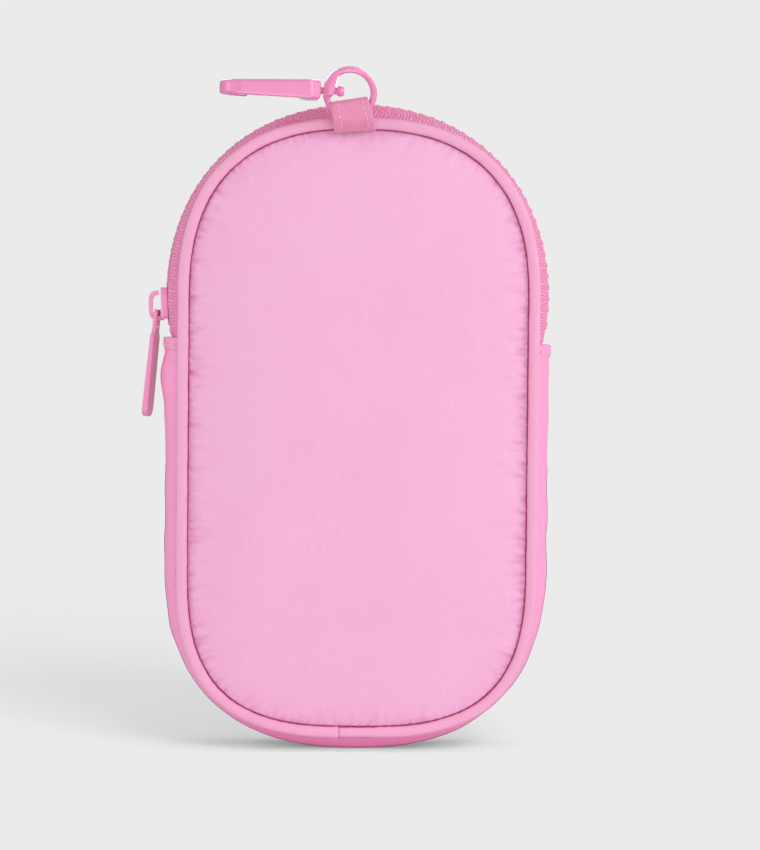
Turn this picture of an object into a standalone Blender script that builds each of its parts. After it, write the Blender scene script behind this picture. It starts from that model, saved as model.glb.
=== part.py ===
"""Clip-on zip pouch in padded satin, with a swivel snap hook at its top.

The pouch stands on the middle of its rounded base. X runs to the right, Y from
front to back and Z up, the origin is the middle of the flat under the base, and
lengths are in metres.

Front and back are padded panels edged with piping. A zip runs over the arched top
from side to side, and a plain gusset closes the sides and the base below it. The
front panel folds forward about a line just above the ends of the zip.
"""

import math

import bmesh
import bpy
from mathutils import Matrix, Vector

COLLECTION = "clip_on_pouch"

# Clearances
GAP = 0.0003
CUT_OVERRUN_LENGTH = 0.004

# Seam line of the padded panels, seen from the front
SEAM_HALF_WIDTH = 0.0469
SEAM_ARCH_Z = 0.1249
SEAM_ARCH_RISE = 0.0472
SEAM_ARCH_POWER = 2.5
SEAM_FOOT_Z = 0.0524
SEAM_FOOT_DROP = 0.0455
SEAM_FOOT_POWER = 2.93

# Crest of the gusset, its widest line, halfway between front and back
CREST_HALF_WIDTH = 0.0542
CREST_FOOT_DROP = 0.0524
CREST_FOOT_POWER = 2.5
BASE_FLAT_DEPTH = 0.0005

# Padded panels and piping
PANEL_THICKNESS = 0.0022
PANEL_EDGE_Y = 0.0122
PANEL_CROWN_HEIGHT = 0.0043
PANEL_CROWN_POWER = 3.2
LINING_THICKNESS = 0.0005
PIPING_RADIUS = 0.0016
PIPING_Y = 0.0118

# Gusset
GUSSET_THICKNESS = 0.0012
GUSSET_BULGE_POWER = 3.0
GUSSET_BELOW_ARCH_HEIGHT = 0.0120

# Zip: an arch of moulded teeth on two woven tapes
ARCH_Z = 0.1262
CHAIN_INSET_WIDTH = 0.0007
TOOTH_THICKNESS = 0.0026
TOOTH_PITCH = 0.0031
TOOTH_HALF_WIDTH = 0.00095
NECK_HALF_WIDTH = 0.00055
HEAD_HALF_WIDTH = 0.00078
TOOTH_TIP_Y = 0.0005
TOOTH_LENGTH = 0.0023
BEAD_RADIUS = 0.0005
TAPE_THICKNESS = 0.0006
TAPE_FLAT_Y = 0.0050
FOLD_ABOVE_ARCH_HEIGHT = 0.0052
CHAIN_END_ANGLE = math.radians(-6.8)
STOP_LENGTH = 0.0022

# Slider, a casting with its crown bent over the puller's eye
SLIDER_LENGTH = 0.0088
SLIDER_HALF_WIDTH = 0.0043
SLIDER_NOSE_HALF_WIDTH = 0.0037
SLIDER_PLATE_THICKNESS = 0.0011
SLIDER_INNER_PLATE_THICKNESS = 0.0012
SLIDER_FLANGE_THICKNESS = 0.0010
SLIDER_WEB_THICKNESS = 0.0004
SLIDER_TAPE_GAP = 0.0014
SLIDER_ARC_GAP = 0.0003
SLIDER_EDGE_RADIUS = 0.0004
SLIDER_WELD_DEPTH = 0.0006
SLIDER_PARK_ANGLE = math.radians(182.6)
CROWN_HEIGHT = 0.0041
CROWN_STOCK_THICKNESS = 0.0012
CROWN_WIDTH = 0.0022
CROWN_MOUTH_GAP = 0.0005
CROWN_POWER = 4.0
CROWN_DROP_LENGTH = 0.0006

# Puller, a tapered tag hanging from the crown
PULLER_LENGTH = 0.0300
PULLER_HALF_WIDTH = 0.0042
PULLER_EYE_HALF_WIDTH = 0.0026
PULLER_TOP_THICKNESS = 0.0010
PULLER_END_THICKNESS = 0.0017
PULLER_BAR_WIDTH = 0.0014
PULLER_HOLE_LENGTH = 0.0034
PULLER_HOLE_HALF_WIDTH = 0.0015
PULLER_CORNER_RADIUS = 0.0016
PULLER_END_RADIUS = 0.0030
PULLER_EDGE_RADIUS = 0.0003
PULLER_LEAN = math.radians(5.5)
PULLER_TWIST = math.radians(-10)

# Hang tab, a satin strap folded round the ring and sewn in above the front panel
TAB_TOP_HALF_WIDTH = 0.00505
TAB_FOOT_HALF_WIDTH = 0.0057
TAB_TOP_X = -0.0032
TAB_FOOT_X = -0.00135
TAB_THICKNESS = 0.0006
TAB_TILT_ANGLE = math.radians(6.4)
TAB_FOOT_BELOW_SEAM_HEIGHT = 0.0005
TAB_HEIGHT = 0.0090

# Snap hook: ring with a swivel boss, hook, gate, pin, spring and post
RING_X = -0.0032
RING_ABOVE_TAB_HEIGHT = 0.0011
RING_RADIUS = 0.0065
RING_WIRE_RADIUS = 0.0009
RING_STEPS = 48
HOOK_RISE_ANGLE = math.radians(1.3)
BOSS_HALF_WIDTH = 0.0021
BOSS_PROUD_HEIGHT = 0.0001
BOSS_FACE_DISTANCE = 0.0042
BOSS_FACE_LEAN_ANGLE = math.radians(12)
BOSS_TOP_ANGLE = math.radians(127.5)
BOSS_LOW_ANGLE = math.radians(187.5)
BOSS_CORNER_SHARE = 0.86
HOOK_ABOVE_RING_HEIGHT = 0.0005
POST_RADIUS = 0.00095
POST_HEAD_RADIUS = 0.0016
POST_HEAD_LENGTH = 0.0019
HOOK_LENGTH = 0.02765
HOOK_HALF_WIDTH = 0.0060
HOOK_STOCK_WIDTH = 0.0028
HOOK_ROOT_THICKNESS = 0.0053
HOOK_TIP_THICKNESS = 0.0037
HOOK_NECK_HALF_WIDTH = 0.0034
HOOK_BASE_LENGTH = 0.0062
HOOK_NOSE_LENGTH = 0.0018
HOOK_EDGE_RADIUS = 0.0007
GATE_THICKNESS = 0.0032
GATE_LUG_HEIGHT = 0.0006
GATE_EDGE_RADIUS = 0.0003
GATE_TONGUE_THICKNESS = 0.0008
GATE_SLOT_WIDTH = 0.0038
PIN_RADIUS = 0.0006
SPRING_WIRE_RADIUS = 0.00017
SPRING_PITCH = 0.0008
SPRING_TURNS = 2

# Fineness of the meshes
ARCH_STEPS = 26
SIDE_STEPS = 3
FOOT_STEPS = 20
DOME_RINGS = 4
DOME_RING_SHARES = (1.0, 0.93, 0.78, 0.5)
GUSSET_ROWS = 6
TAPE_STEPS = 44
ROUND_STEPS = 16
END_STEPS = 4

# Sizes worked out from those above
CHAIN_OUTER_RADIUS = CREST_HALF_WIDTH - CHAIN_INSET_WIDTH
GUSSET_TOP_Z = ARCH_Z - GUSSET_BELOW_ARCH_HEIGHT
CHAIN_MID_RADIUS = CHAIN_OUTER_RADIUS - TOOTH_THICKNESS / 2
PITCH_ANGLE = TOOTH_PITCH / CHAIN_MID_RADIUS
FOLD_AIM_ANGLE = math.acos(FOLD_ABOVE_ARCH_HEIGHT / CHAIN_MID_RADIUS)
TEETH_FROM_TOP_TO_FOLD = round(FOLD_AIM_ANGLE / PITCH_ANGLE)
FOLD_ANGLE = math.pi / 2 - TEETH_FROM_TOP_TO_FOLD * PITCH_ANGLE
FOLD_Z = ARCH_Z + CHAIN_MID_RADIUS * math.sin(FOLD_ANGLE)
FOLD_Y = -(PANEL_EDGE_Y + PANEL_CROWN_HEIGHT + GAP)
TOOTH_ROOT_Y = TOOTH_TIP_Y + TOOTH_LENGTH
WALL_EDGE_Y = PIPING_Y - PIPING_RADIUS - GAP
TAPE_EDGE_Y = TOOTH_ROOT_Y + GAP
TAPE_END_Z = GUSSET_TOP_Z + GAP
LINING_EDGE_Y = PANEL_EDGE_Y - PANEL_THICKNESS - GAP
MIDDLE_Z = (SEAM_ARCH_Z + SEAM_ARCH_RISE + SEAM_FOOT_Z - SEAM_FOOT_DROP) / 2
TAB_FOOT_Z = SEAM_ARCH_Z + SEAM_ARCH_RISE - TAB_FOOT_BELOW_SEAM_HEIGHT
TAB_TOP_Z = TAB_FOOT_Z + TAB_HEIGHT
RING_Z = TAB_TOP_Z + RING_ABOVE_TAB_HEIGHT
TAB_BACK_Y = -(PIPING_Y + PIPING_RADIUS + GAP)
RING_Y = TAB_BACK_Y - TAB_THICKNESS - GAP - RING_WIRE_RADIUS
TAB_FRONT_Y = RING_Y - RING_WIRE_RADIUS - GAP - TAB_THICKNESS
BOSS_OUTER_RADIUS = RING_RADIUS + RING_WIRE_RADIUS + BOSS_PROUD_HEIGHT
HOOK_START = BOSS_OUTER_RADIUS + GAP * 2
HOOK_BEND = HOOK_START + HOOK_LENGTH - HOOK_HALF_WIDTH
GATE_PIN_X = HOOK_START + HOOK_BASE_LENGTH * 2 / 3
GATE_PIN_Y = HOOK_HALF_WIDTH - HOOK_STOCK_WIDTH * 0.6
CROWN_HALF_LENGTH = SLIDER_LENGTH / 2 - SLIDER_EDGE_RADIUS / 2
GATE_TONGUE_LOW_Z = GATE_EDGE_RADIUS / 3 - GATE_THICKNESS / 2


def srgb(red, green, blue):
    """Linear colour for an 8-bit screen colour."""
    def channel(value):
        share = value / 255
        return share / 12.92 if share <= 0.04045 else ((share + 0.055) / 1.055) ** 2.4
    return channel(red), channel(green), channel(blue), 1.0


COLOURS = {
    "satin": (srgb(243, 179, 214), 0.45, 0.0),
    "satin_gusset": (srgb(232, 150, 192), 0.5, 0.0),
    "piping": (srgb(242, 170, 208), 0.5, 0.0),
    "lining": (srgb(238, 176, 206), 0.7, 0.0),
    "tape": (srgb(232, 158, 196), 0.85, 0.0),
    "teeth": (srgb(229, 128, 172), 0.4, 0.0),
    "painted_metal": (srgb(240, 156, 200), 0.3, 0.3),
    "steel": (srgb(150, 150, 156), 0.35, 1.0),
}


def make_material(node, look):
    """A Principled material of the node's own."""
    colour, roughness, metallic = COLOURS[look]
    material = bpy.data.materials.new(node + "_material")
    material.use_nodes = True
    shader = material.node_tree.nodes["Principled BSDF"]
    shader.inputs["Base Color"].default_value = colour
    shader.inputs["Roughness"].default_value = roughness
    shader.inputs["Metallic"].default_value = metallic
    material.diffuse_color = colour
    return material


def clear_scene():
    for thing in list(bpy.data.objects):
        bpy.data.objects.remove(thing, do_unlink=True)


def make_collection(name):
    collection = bpy.data.collections.new(name)
    bpy.context.scene.collection.children.link(collection)
    return collection


def make_object(node, mesh, look):
    """A sub-part of the pouch from its mesh."""
    thing = bpy.data.objects.new(node, mesh)
    PARTS.objects.link(thing)
    thing.data.materials.clear()
    thing.data.materials.append(make_material(node, look))
    return thing


def mesh_from(bm, name):
    bmesh.ops.recalc_face_normals(bm, faces=bm.faces)
    mesh = bpy.data.meshes.new(name)
    bm.to_mesh(mesh)
    bm.free()
    return mesh


def shade_round(thing, degrees=40):
    thing.data.shade_smooth()
    thing.data.set_sharp_from_angle(angle=math.radians(degrees))


def make_cutter(name, mesh):
    cutter = bpy.data.objects.new(name, mesh)
    CUTTERS.objects.link(cutter)
    cutter.hide_render = True
    cutter.display_type = "WIRE"
    return cutter


def box_mesh(name, low, high):
    """A box between two corners."""
    bm = bmesh.new()
    bmesh.ops.create_cube(bm, size=1)
    low = Vector(low)
    high = Vector(high)
    size = Matrix.Diagonal((*(high - low), 1))
    bmesh.ops.transform(bm, matrix=Matrix.Translation((low + high) / 2) @ size, verts=bm.verts)
    return mesh_from(bm, name)


def rod_mesh(name, radius, start, end, steps=ROUND_STEPS):
    """A round rod from one point to another."""
    start = Vector(start)
    run = Vector(end) - start
    bm = bmesh.new()
    turn = run.to_track_quat("Z", "Y").to_matrix().to_4x4()
    bmesh.ops.create_cone(bm, cap_ends=True, segments=steps, radius1=radius, radius2=radius,
                          depth=run.length, matrix=Matrix.Translation(start + run / 2) @ turn)
    return mesh_from(bm, name)


def slab_mesh(name, outline, low, high):
    """A flat outline in X and Y, given as points, raised from one height to another."""
    bm = bmesh.new()
    face = bm.faces.new([bm.verts.new((x, y, low)) for x, y in outline])
    raised = bmesh.ops.extrude_face_region(bm, geom=[face])
    top = [item for item in raised["geom"] if isinstance(item, bmesh.types.BMVert)]
    bmesh.ops.translate(bm, verts=top, vec=(0, 0, high - low))
    return mesh_from(bm, name)


def add_boolean(thing, cutter, operation):
    boolean = thing.modifiers.new(operation.lower(), "BOOLEAN")
    boolean.operation = operation
    boolean.object = cutter
    boolean.solver = "EXACT"


def add_bevel(thing, width, segments=2, angle=math.radians(35)):
    bevel = thing.modifiers.new("bevel", "BEVEL")
    bevel.width = width
    bevel.segments = segments
    bevel.limit_method = "ANGLE"
    bevel.angle_limit = angle


def add_thickness(thing, thickness, offset):
    solidify = thing.modifiers.new("thickness", "SOLIDIFY")
    solidify.thickness = thickness
    solidify.offset = offset
    solidify.use_even_offset = True


def wire_mesh(name, points, radius, fineness, cyclic=False):
    """A round wire along points, as a closed mesh."""
    curve = bpy.data.curves.new(name, "CURVE")
    curve.dimensions = "3D"
    curve.bevel_depth = radius
    curve.bevel_resolution = fineness
    curve.use_fill_caps = not cyclic
    spline = curve.splines.new("POLY")
    spline.points.add(len(points) - 1)
    for spot, point in zip(spline.points, points):
        spot.co = (*point, 1)
    spline.use_cyclic_u = cyclic
    guide = bpy.data.objects.new(name, curve)
    CUTTERS.objects.link(guide)
    bpy.context.view_layer.update()
    mesh = bpy.data.meshes.new_from_object(guide.evaluated_get(bpy.context.evaluated_depsgraph_get()))
    bpy.data.objects.remove(guide, do_unlink=True)
    bm = bmesh.new()
    bm.from_mesh(mesh)
    bmesh.ops.remove_doubles(bm, verts=bm.verts, dist=radius / 100)
    bpy.data.meshes.remove(mesh)
    return mesh_from(bm, name)


def polar_point(angle, half_width, rise, power):
    """Point of a superellipse at a polar angle about its centre."""
    across = abs(math.cos(angle)) / half_width
    up = abs(math.sin(angle)) / rise
    radius = (across ** power + up ** power) ** (-1 / power)
    return Vector((radius * math.cos(angle), radius * math.sin(angle)))


def seam_arch(angle):
    point = polar_point(angle, SEAM_HALF_WIDTH, SEAM_ARCH_RISE, SEAM_ARCH_POWER)
    return point + Vector((0, SEAM_ARCH_Z))


def seam_foot(angle):
    point = polar_point(angle, SEAM_HALF_WIDTH, SEAM_FOOT_DROP, SEAM_FOOT_POWER)
    return point + Vector((0, SEAM_FOOT_Z))


def crest_foot(angle):
    point = polar_point(angle, CREST_HALF_WIDTH, CREST_FOOT_DROP + BASE_FLAT_DEPTH, CREST_FOOT_POWER)
    return point + Vector((0, SEAM_FOOT_Z))


def seam_outline():
    """The closed seam line as points in X and Z, anticlockwise from the right shoulder."""
    points = [seam_arch(math.pi * step / ARCH_STEPS) for step in range(ARCH_STEPS + 1)]
    side = SEAM_ARCH_Z - SEAM_FOOT_Z
    drops = [side * step / SIDE_STEPS for step in range(1, SIDE_STEPS)]
    points += [Vector((-SEAM_HALF_WIDTH, SEAM_ARCH_Z - drop)) for drop in drops]
    points += [seam_foot(math.pi * (1 + step / FOOT_STEPS)) for step in range(FOOT_STEPS + 1)]
    points += [Vector((SEAM_HALF_WIDTH, SEAM_FOOT_Z + drop)) for drop in drops]
    return points


def grown(points, distance, closed=True):
    """The same line moved outwards by a distance, square to itself."""
    moved = []
    count = len(points)
    for index, point in enumerate(points):
        before = points[index - 1] if closed or index else point
        after = points[(index + 1) % count] if closed or index < count - 1 else point
        along = (after - before).normalized()
        moved.append(point + Vector((along.y, -along.x)) * distance)
    return moved


def loft_mesh(name, sections):
    """An open surface through sections of equal length."""
    bm = bmesh.new()
    rows = [[bm.verts.new(point) for point in section] for section in sections]
    for row, following in zip(rows, rows[1:]):
        for index in range(len(row) - 1):
            bm.faces.new((row[index], row[index + 1], following[index + 1], following[index]))
    mesh = bpy.data.meshes.new(name)
    bm.to_mesh(mesh)
    bm.free()
    return mesh


def dome_mesh(name, edge_y, inset, side):
    """A crowned panel surface inside the seam line, on the front (-1) or the back (+1)."""
    outline = grown(seam_outline(), -inset)
    centre = Vector((0, MIDDLE_Z))
    bm = bmesh.new()
    rings = []
    for share in DOME_RING_SHARES:
        height = edge_y + PANEL_CROWN_HEIGHT * (1 - share ** PANEL_CROWN_POWER)
        spots = [centre + (point - centre) * share for point in outline]
        rings.append([bm.verts.new((spot.x, side * height, spot.y)) for spot in spots])
    count = len(outline)
    for ring, inner in zip(rings, rings[1:]):
        for index in range(count):
            following = (index + 1) % count
            bm.faces.new((ring[index], ring[following], inner[following], inner[index]))
    hub = bm.verts.new((0, side * (edge_y + PANEL_CROWN_HEIGHT), MIDDLE_Z))
    for index in range(count):
        bm.faces.new((rings[-1][index], rings[-1][(index + 1) % count], hub))
    if side > 0:
        bmesh.ops.reverse_faces(bm, faces=bm.faces)
    mesh = bpy.data.meshes.new(name)
    bm.to_mesh(mesh)
    bm.free()
    return mesh


def fold_cutters():
    """Boxes that keep what lies above the fold, and what lies below it."""
    reach = CREST_HALF_WIDTH + CUT_OVERRUN_LENGTH
    deep = PANEL_EDGE_Y + PANEL_CROWN_HEIGHT + CUT_OVERRUN_LENGTH
    top = ARCH_Z + CHAIN_OUTER_RADIUS + CUT_OVERRUN_LENGTH
    above = FOLD_Z + GAP / 2
    below = FOLD_Z - GAP / 2
    boxes = {
        "above": ((-reach, -deep, above), (reach, deep, top)),
        "below": ((-reach, -deep, -CUT_OVERRUN_LENGTH), (reach, deep, below)),
        "below_left": ((-reach, -deep, -CUT_OVERRUN_LENGTH), (0, deep, below)),
        "below_right": ((0, -deep, -CUT_OVERRUN_LENGTH), (reach, deep, below)),
    }
    return {key: make_cutter("keep_" + key, box_mesh(key, *corners)) for key, corners in boxes.items()}


def make_panel(node, edge_y, thickness, side, look, keep=None):
    """A padded panel or its lining: a crowned surface given thickness inwards."""
    panel = make_object(node, dome_mesh(node, edge_y, GAP, side), look)
    add_thickness(panel, thickness, -1)
    if keep:
        add_boolean(panel, keep, "INTERSECT")
    shade_round(panel)
    return panel


def make_piping(node, side, keep=None):
    """The piped edge round a panel."""
    line = grown(seam_outline(), PIPING_RADIUS)
    points = [(point.x, side * PIPING_Y, point.y) for point in line]
    piping = make_object(node, wire_mesh(node, points, PIPING_RADIUS, 2, cyclic=True), "piping")
    if keep:
        add_boolean(piping, keep, "INTERSECT")
    shade_round(piping)
    return piping


def gusset_stations():
    """Pairs of rim and crest points, from the left end of the zip round the base to the right."""
    drop = GUSSET_TOP_Z - SEAM_FOOT_Z
    pairs = []
    for step in range(SIDE_STEPS):
        z = GUSSET_TOP_Z - drop * step / SIDE_STEPS
        pairs.append((Vector((-SEAM_HALF_WIDTH, z)), Vector((-CREST_HALF_WIDTH, z))))
    for step in range(FOOT_STEPS + 1):
        angle = math.pi * (1 + step / FOOT_STEPS)
        pairs.append((seam_foot(angle), crest_foot(angle)))
    mirrored = [(Vector((-rim.x, rim.y)), Vector((-crest.x, crest.y))) for rim, crest in pairs]
    return pairs + list(reversed(mirrored[:SIDE_STEPS]))


def make_gusset(node, inset, thickness, rows, look):
    """The wall round the sides and the base, or its lining, set in from the outside."""
    pairs = gusset_stations()
    rims = grown([rim for rim, crest in pairs], PIPING_RADIUS - inset, closed=False)
    crests = grown([crest for rim, crest in pairs], -inset, closed=False)
    half = WALL_EDGE_Y - inset / 2
    sections = []
    for rim, crest in zip(rims, crests):
        section = []
        for row in range(rows + 1):
            share = 2 * row / rows - 1
            spot = rim.lerp(crest, 1 - abs(share) ** GUSSET_BULGE_POWER)
            section.append((spot.x, half * share, spot.y))
        sections.append(section)
    gusset = make_object(node, loft_mesh(node, sections), look)
    add_thickness(gusset, thickness, -1)
    shade_round(gusset)
    return gusset


def make_zip_tape(node, side, keep=None):
    """A woven tape from the piping to the teeth, flat where the slider straddles it."""
    end_angle = math.asin((TAPE_END_Z - ARCH_Z) / CHAIN_MID_RADIUS)
    level_share = (SEAM_ARCH_Z - TAPE_END_Z) / (ARCH_Z - TAPE_END_Z)
    rows_y = (WALL_EDGE_Y, (WALL_EDGE_Y + TAPE_FLAT_Y) / 2, TAPE_FLAT_Y, TAPE_EDGE_Y)
    arch = []
    rims = []
    for step in range(TAPE_STEPS + 1):
        angle = end_angle + (math.pi - 2 * end_angle) * step / TAPE_STEPS
        arch_point = Vector((math.cos(angle), math.sin(angle))) * CHAIN_MID_RADIUS
        arch.append(arch_point + Vector((0, ARCH_Z)))
        if 0 <= angle <= math.pi:
            rims.append(seam_arch(angle))
        else:
            z = SEAM_ARCH_Z + arch_point.y * level_share
            rims.append(Vector((math.copysign(SEAM_HALF_WIDTH, arch_point.x), z)))
    rims = grown(rims, PIPING_RADIUS, closed=False)
    sections = []
    for rim, inner in zip(rims, arch):
        section = []
        for y in rows_y:
            share = min(1, (WALL_EDGE_Y - y) / (WALL_EDGE_Y - TAPE_FLAT_Y))
            spot = rim.lerp(inner, share)
            section.append((spot.x, side * y, spot.y))
        sections.append(section)
    tape = make_object(node, loft_mesh(node, sections), "tape")
    add_thickness(tape, TAPE_THICKNESS, 0)
    if keep:
        add_boolean(tape, keep, "INTERSECT")
    shade_round(tape)
    return tape


def tooth_outline():
    """One moulded tooth seen from outside: foot on the tape, neck and head."""
    foot_y = TOOTH_TIP_Y + TOOTH_LENGTH * 0.52
    neck_y = TOOTH_TIP_Y + TOOTH_LENGTH * 0.37
    half = [
        (TOOTH_HALF_WIDTH, TOOTH_ROOT_Y),
        (TOOTH_HALF_WIDTH, foot_y),
        (NECK_HALF_WIDTH, neck_y),
        (HEAD_HALF_WIDTH, TOOTH_TIP_Y),
    ]
    return half + [(-x, y) for x, y in reversed(half)]


def arch_frame(angle):
    """Local X along the arch, Y front to back and Z outwards, at an angle on the arch."""
    centre = Matrix.Translation((0, 0, ARCH_Z))
    return centre @ Matrix.Rotation(math.pi / 2 - angle, 4, "Y")


def make_teeth(node, side, start, end):
    """A row of teeth on their bead, between two angles on the arch."""
    shift = 0.5 if side < 0 else 0
    outline = [(x, side * y) for x, y in tooth_outline()]
    tooth_span = TOOTH_HALF_WIDTH / CHAIN_MID_RADIUS
    bm = bmesh.new()
    count = int(math.pi / PITCH_ANGLE)
    for index in range(-count, count + 1):
        angle = math.pi / 2 + (index + shift) * PITCH_ANGLE
        if angle - tooth_span < start or angle + tooth_span > end:
            continue
        tooth = slab_mesh(node, outline, CHAIN_OUTER_RADIUS - TOOTH_THICKNESS, CHAIN_OUTER_RADIUS)
        tooth.transform(arch_frame(angle))
        bm.from_mesh(tooth)
        bpy.data.meshes.remove(tooth)
    teeth = make_cutter(node + "_set", mesh_from(bm, node))
    bead_y = side * (TOOTH_ROOT_Y - BEAD_RADIUS * 1.2)
    steps = max(2, round((end - start) / PITCH_ANGLE))
    points = []
    for step in range(steps + 1):
        angle = start + (end - start) * step / steps
        x = CHAIN_MID_RADIUS * math.cos(angle)
        z = ARCH_Z + CHAIN_MID_RADIUS * math.sin(angle)
        points.append((x, bead_y, z))
    row = make_object(node, wire_mesh(node, points, BEAD_RADIUS, 0), "teeth")
    add_boolean(row, teeth, "UNION")
    return row


def make_stop(node, end, low_y, high_y):
    """A moulded stop beyond the last tooth, at the left (-1) or the right (+1) end."""
    length_angle = STOP_LENGTH / CHAIN_MID_RADIUS
    angle = CHAIN_END_ANGLE - GAP / CHAIN_MID_RADIUS - length_angle / 2
    inner = CHAIN_OUTER_RADIUS - TOOTH_THICKNESS
    low = (-STOP_LENGTH / 2, low_y, inner)
    high = (STOP_LENGTH / 2, high_y, CHAIN_OUTER_RADIUS)
    mesh = box_mesh(node, low, high)
    mesh.transform(arch_frame(angle if end > 0 else math.pi - angle))
    stop = make_object(node, mesh, "teeth")
    add_bevel(stop, SLIDER_EDGE_RADIUS, 1)
    return stop


def make_axis(name, location, rotation=(0, 0, 0), parent=None):
    """An empty that carries a moving group on its joint's axis."""
    axis = bpy.data.objects.new(name, None)
    PARTS.objects.link(axis)
    axis.parent = parent
    axis.location = location
    axis.rotation_euler = rotation
    return axis


def crown_outline():
    """Side view of the crown: a half oval strap whose upper end stops short of the plate."""
    outer = []
    inner = []
    half = CROWN_HALF_LENGTH
    for step in range(ROUND_STEPS + 1):
        angle = math.pi * step / ROUND_STEPS
        outer.append(polar_point(angle, half, CROWN_HEIGHT, CROWN_POWER))
        inner_height = CROWN_HEIGHT - CROWN_STOCK_THICKNESS
        inner.append(polar_point(angle, half - CROWN_STOCK_THICKNESS, inner_height, CROWN_POWER))
    return outer + inner[::-1]


def make_slider(pivot):
    """Slider body: two plates joined by a web, with flanges round the teeth, and the crown."""
    half = SLIDER_LENGTH / 2
    top = CHAIN_OUTER_RADIUS + SLIDER_ARC_GAP
    under = CHAIN_OUTER_RADIUS - TOOTH_THICKNESS - SLIDER_ARC_GAP * 1.6
    outline = [
        (half, SLIDER_NOSE_HALF_WIDTH), (half / 2, SLIDER_HALF_WIDTH), (-half * 0.8, SLIDER_HALF_WIDTH),
        (-half, SLIDER_NOSE_HALF_WIDTH),
    ]
    outline += [(x, -y) for x, y in reversed(outline)]
    flange_start = TOOTH_ROOT_Y + GAP
    tape_top = CHAIN_MID_RADIUS + SLIDER_TAPE_GAP / 2
    tape_under = CHAIN_MID_RADIUS - SLIDER_TAPE_GAP / 2
    block = slab_mesh("slider_body", outline, tape_top, top + SLIDER_PLATE_THICKNESS)
    body = make_object("slider_body", block, "painted_metal")
    body.parent = pivot
    add_bevel(body, SLIDER_EDGE_RADIUS)
    channel_low = (-half - CUT_OVERRUN_LENGTH, -flange_start, tape_top - CUT_OVERRUN_LENGTH)
    channel_high = (half + CUT_OVERRUN_LENGTH, flange_start, top)
    channel = make_cutter("slider_channel", box_mesh("slider_channel", channel_low, channel_high))
    channel.parent = pivot
    add_boolean(body, channel, "DIFFERENCE")
    inner = slab_mesh("inner_plate", outline, under - SLIDER_INNER_PLATE_THICKNESS, under)
    weld = SLIDER_WELD_DEPTH
    pieces = {"inner_plate": inner}
    web_low = (-half * 0.7, -SLIDER_WEB_THICKNESS / 2, under - weld)
    web_high = (half * 0.2, SLIDER_WEB_THICKNESS / 2, top + weld)
    pieces["web"] = box_mesh("web", web_low, web_high)
    flange_end = flange_start + SLIDER_FLANGE_THICKNESS
    for side, label in ((-1, "front"), (1, "back")):
        near = side * flange_start
        far = side * flange_end
        low = (-half * 0.7, min(near, far), under - weld)
        high = (half * 0.4, max(near, far), tape_under)
        pieces["lower_flange_" + label] = box_mesh("flange", low, high)
    for label, mesh in pieces.items():
        piece = make_cutter("slider_" + label, mesh)
        piece.parent = pivot
        add_boolean(body, piece, "UNION")
    crown = slab_mesh("crown", [(-point.x, point.y) for point in crown_outline()],
                      -CROWN_WIDTH / 2, CROWN_WIDTH / 2)
    crown.transform(Matrix.Rotation(math.pi / 2, 4, "X"))
    crown.transform(Matrix.Translation((-CROWN_DROP_LENGTH, 0, top + SLIDER_PLATE_THICKNESS - weld)))
    strap = make_cutter("slider_crown", crown)
    strap.parent = pivot
    mouth_low = (0, -CROWN_WIDTH, top + SLIDER_PLATE_THICKNESS)
    mouth_high = (half + CUT_OVERRUN_LENGTH, CROWN_WIDTH, top + SLIDER_PLATE_THICKNESS + CROWN_MOUTH_GAP)
    mouth = make_cutter("crown_mouth", box_mesh("crown_mouth", mouth_low, mouth_high))
    mouth.parent = pivot
    shelf = (mouth_low[0], mouth_low[1], top - weld)
    add_boolean(strap, mouth, "DIFFERENCE")
    below = make_cutter("crown_root", box_mesh("crown_root", shelf, mouth_high))
    below.parent = pivot
    add_boolean(strap, below, "DIFFERENCE")
    add_boolean(body, strap, "UNION")
    shade_round(body)
    return body


def puller_mesh():
    """A tag hanging down local -Z from its eye bar, thicker at its lower end."""
    reach = PULLER_BAR_WIDTH / 2
    eye_foot = reach + PULLER_HOLE_LENGTH + PULLER_BAR_WIDTH
    corner = PULLER_CORNER_RADIUS
    half = PULLER_HALF_WIDTH
    outline = [
        (reach, PULLER_EYE_HALF_WIDTH - corner / 2), (reach - corner / 2, PULLER_EYE_HALF_WIDTH),
        (-eye_foot, PULLER_EYE_HALF_WIDTH), (-eye_foot - corner, half),
    ]
    end_z = reach - PULLER_LENGTH + PULLER_END_RADIUS
    end_y = half - PULLER_END_RADIUS
    for step in range(END_STEPS + 1):
        turn = math.pi / 2 * step / END_STEPS
        spot = (end_z - PULLER_END_RADIUS * math.sin(turn), end_y + PULLER_END_RADIUS * math.cos(turn))
        outline.append(spot)
    outline += [(z, -y) for z, y in reversed(outline)]
    mesh = slab_mesh("puller", outline, -1 / 2, 1 / 2)
    for vert in mesh.vertices:
        z, y, across = vert.co
        share = (reach - z) / PULLER_LENGTH
        thickness = PULLER_TOP_THICKNESS + (PULLER_END_THICKNESS - PULLER_TOP_THICKNESS) * share
        vert.co = (across * thickness, y, z)
    bm = bmesh.new()
    bm.from_mesh(mesh)
    return mesh_from(bm, "puller")


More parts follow.
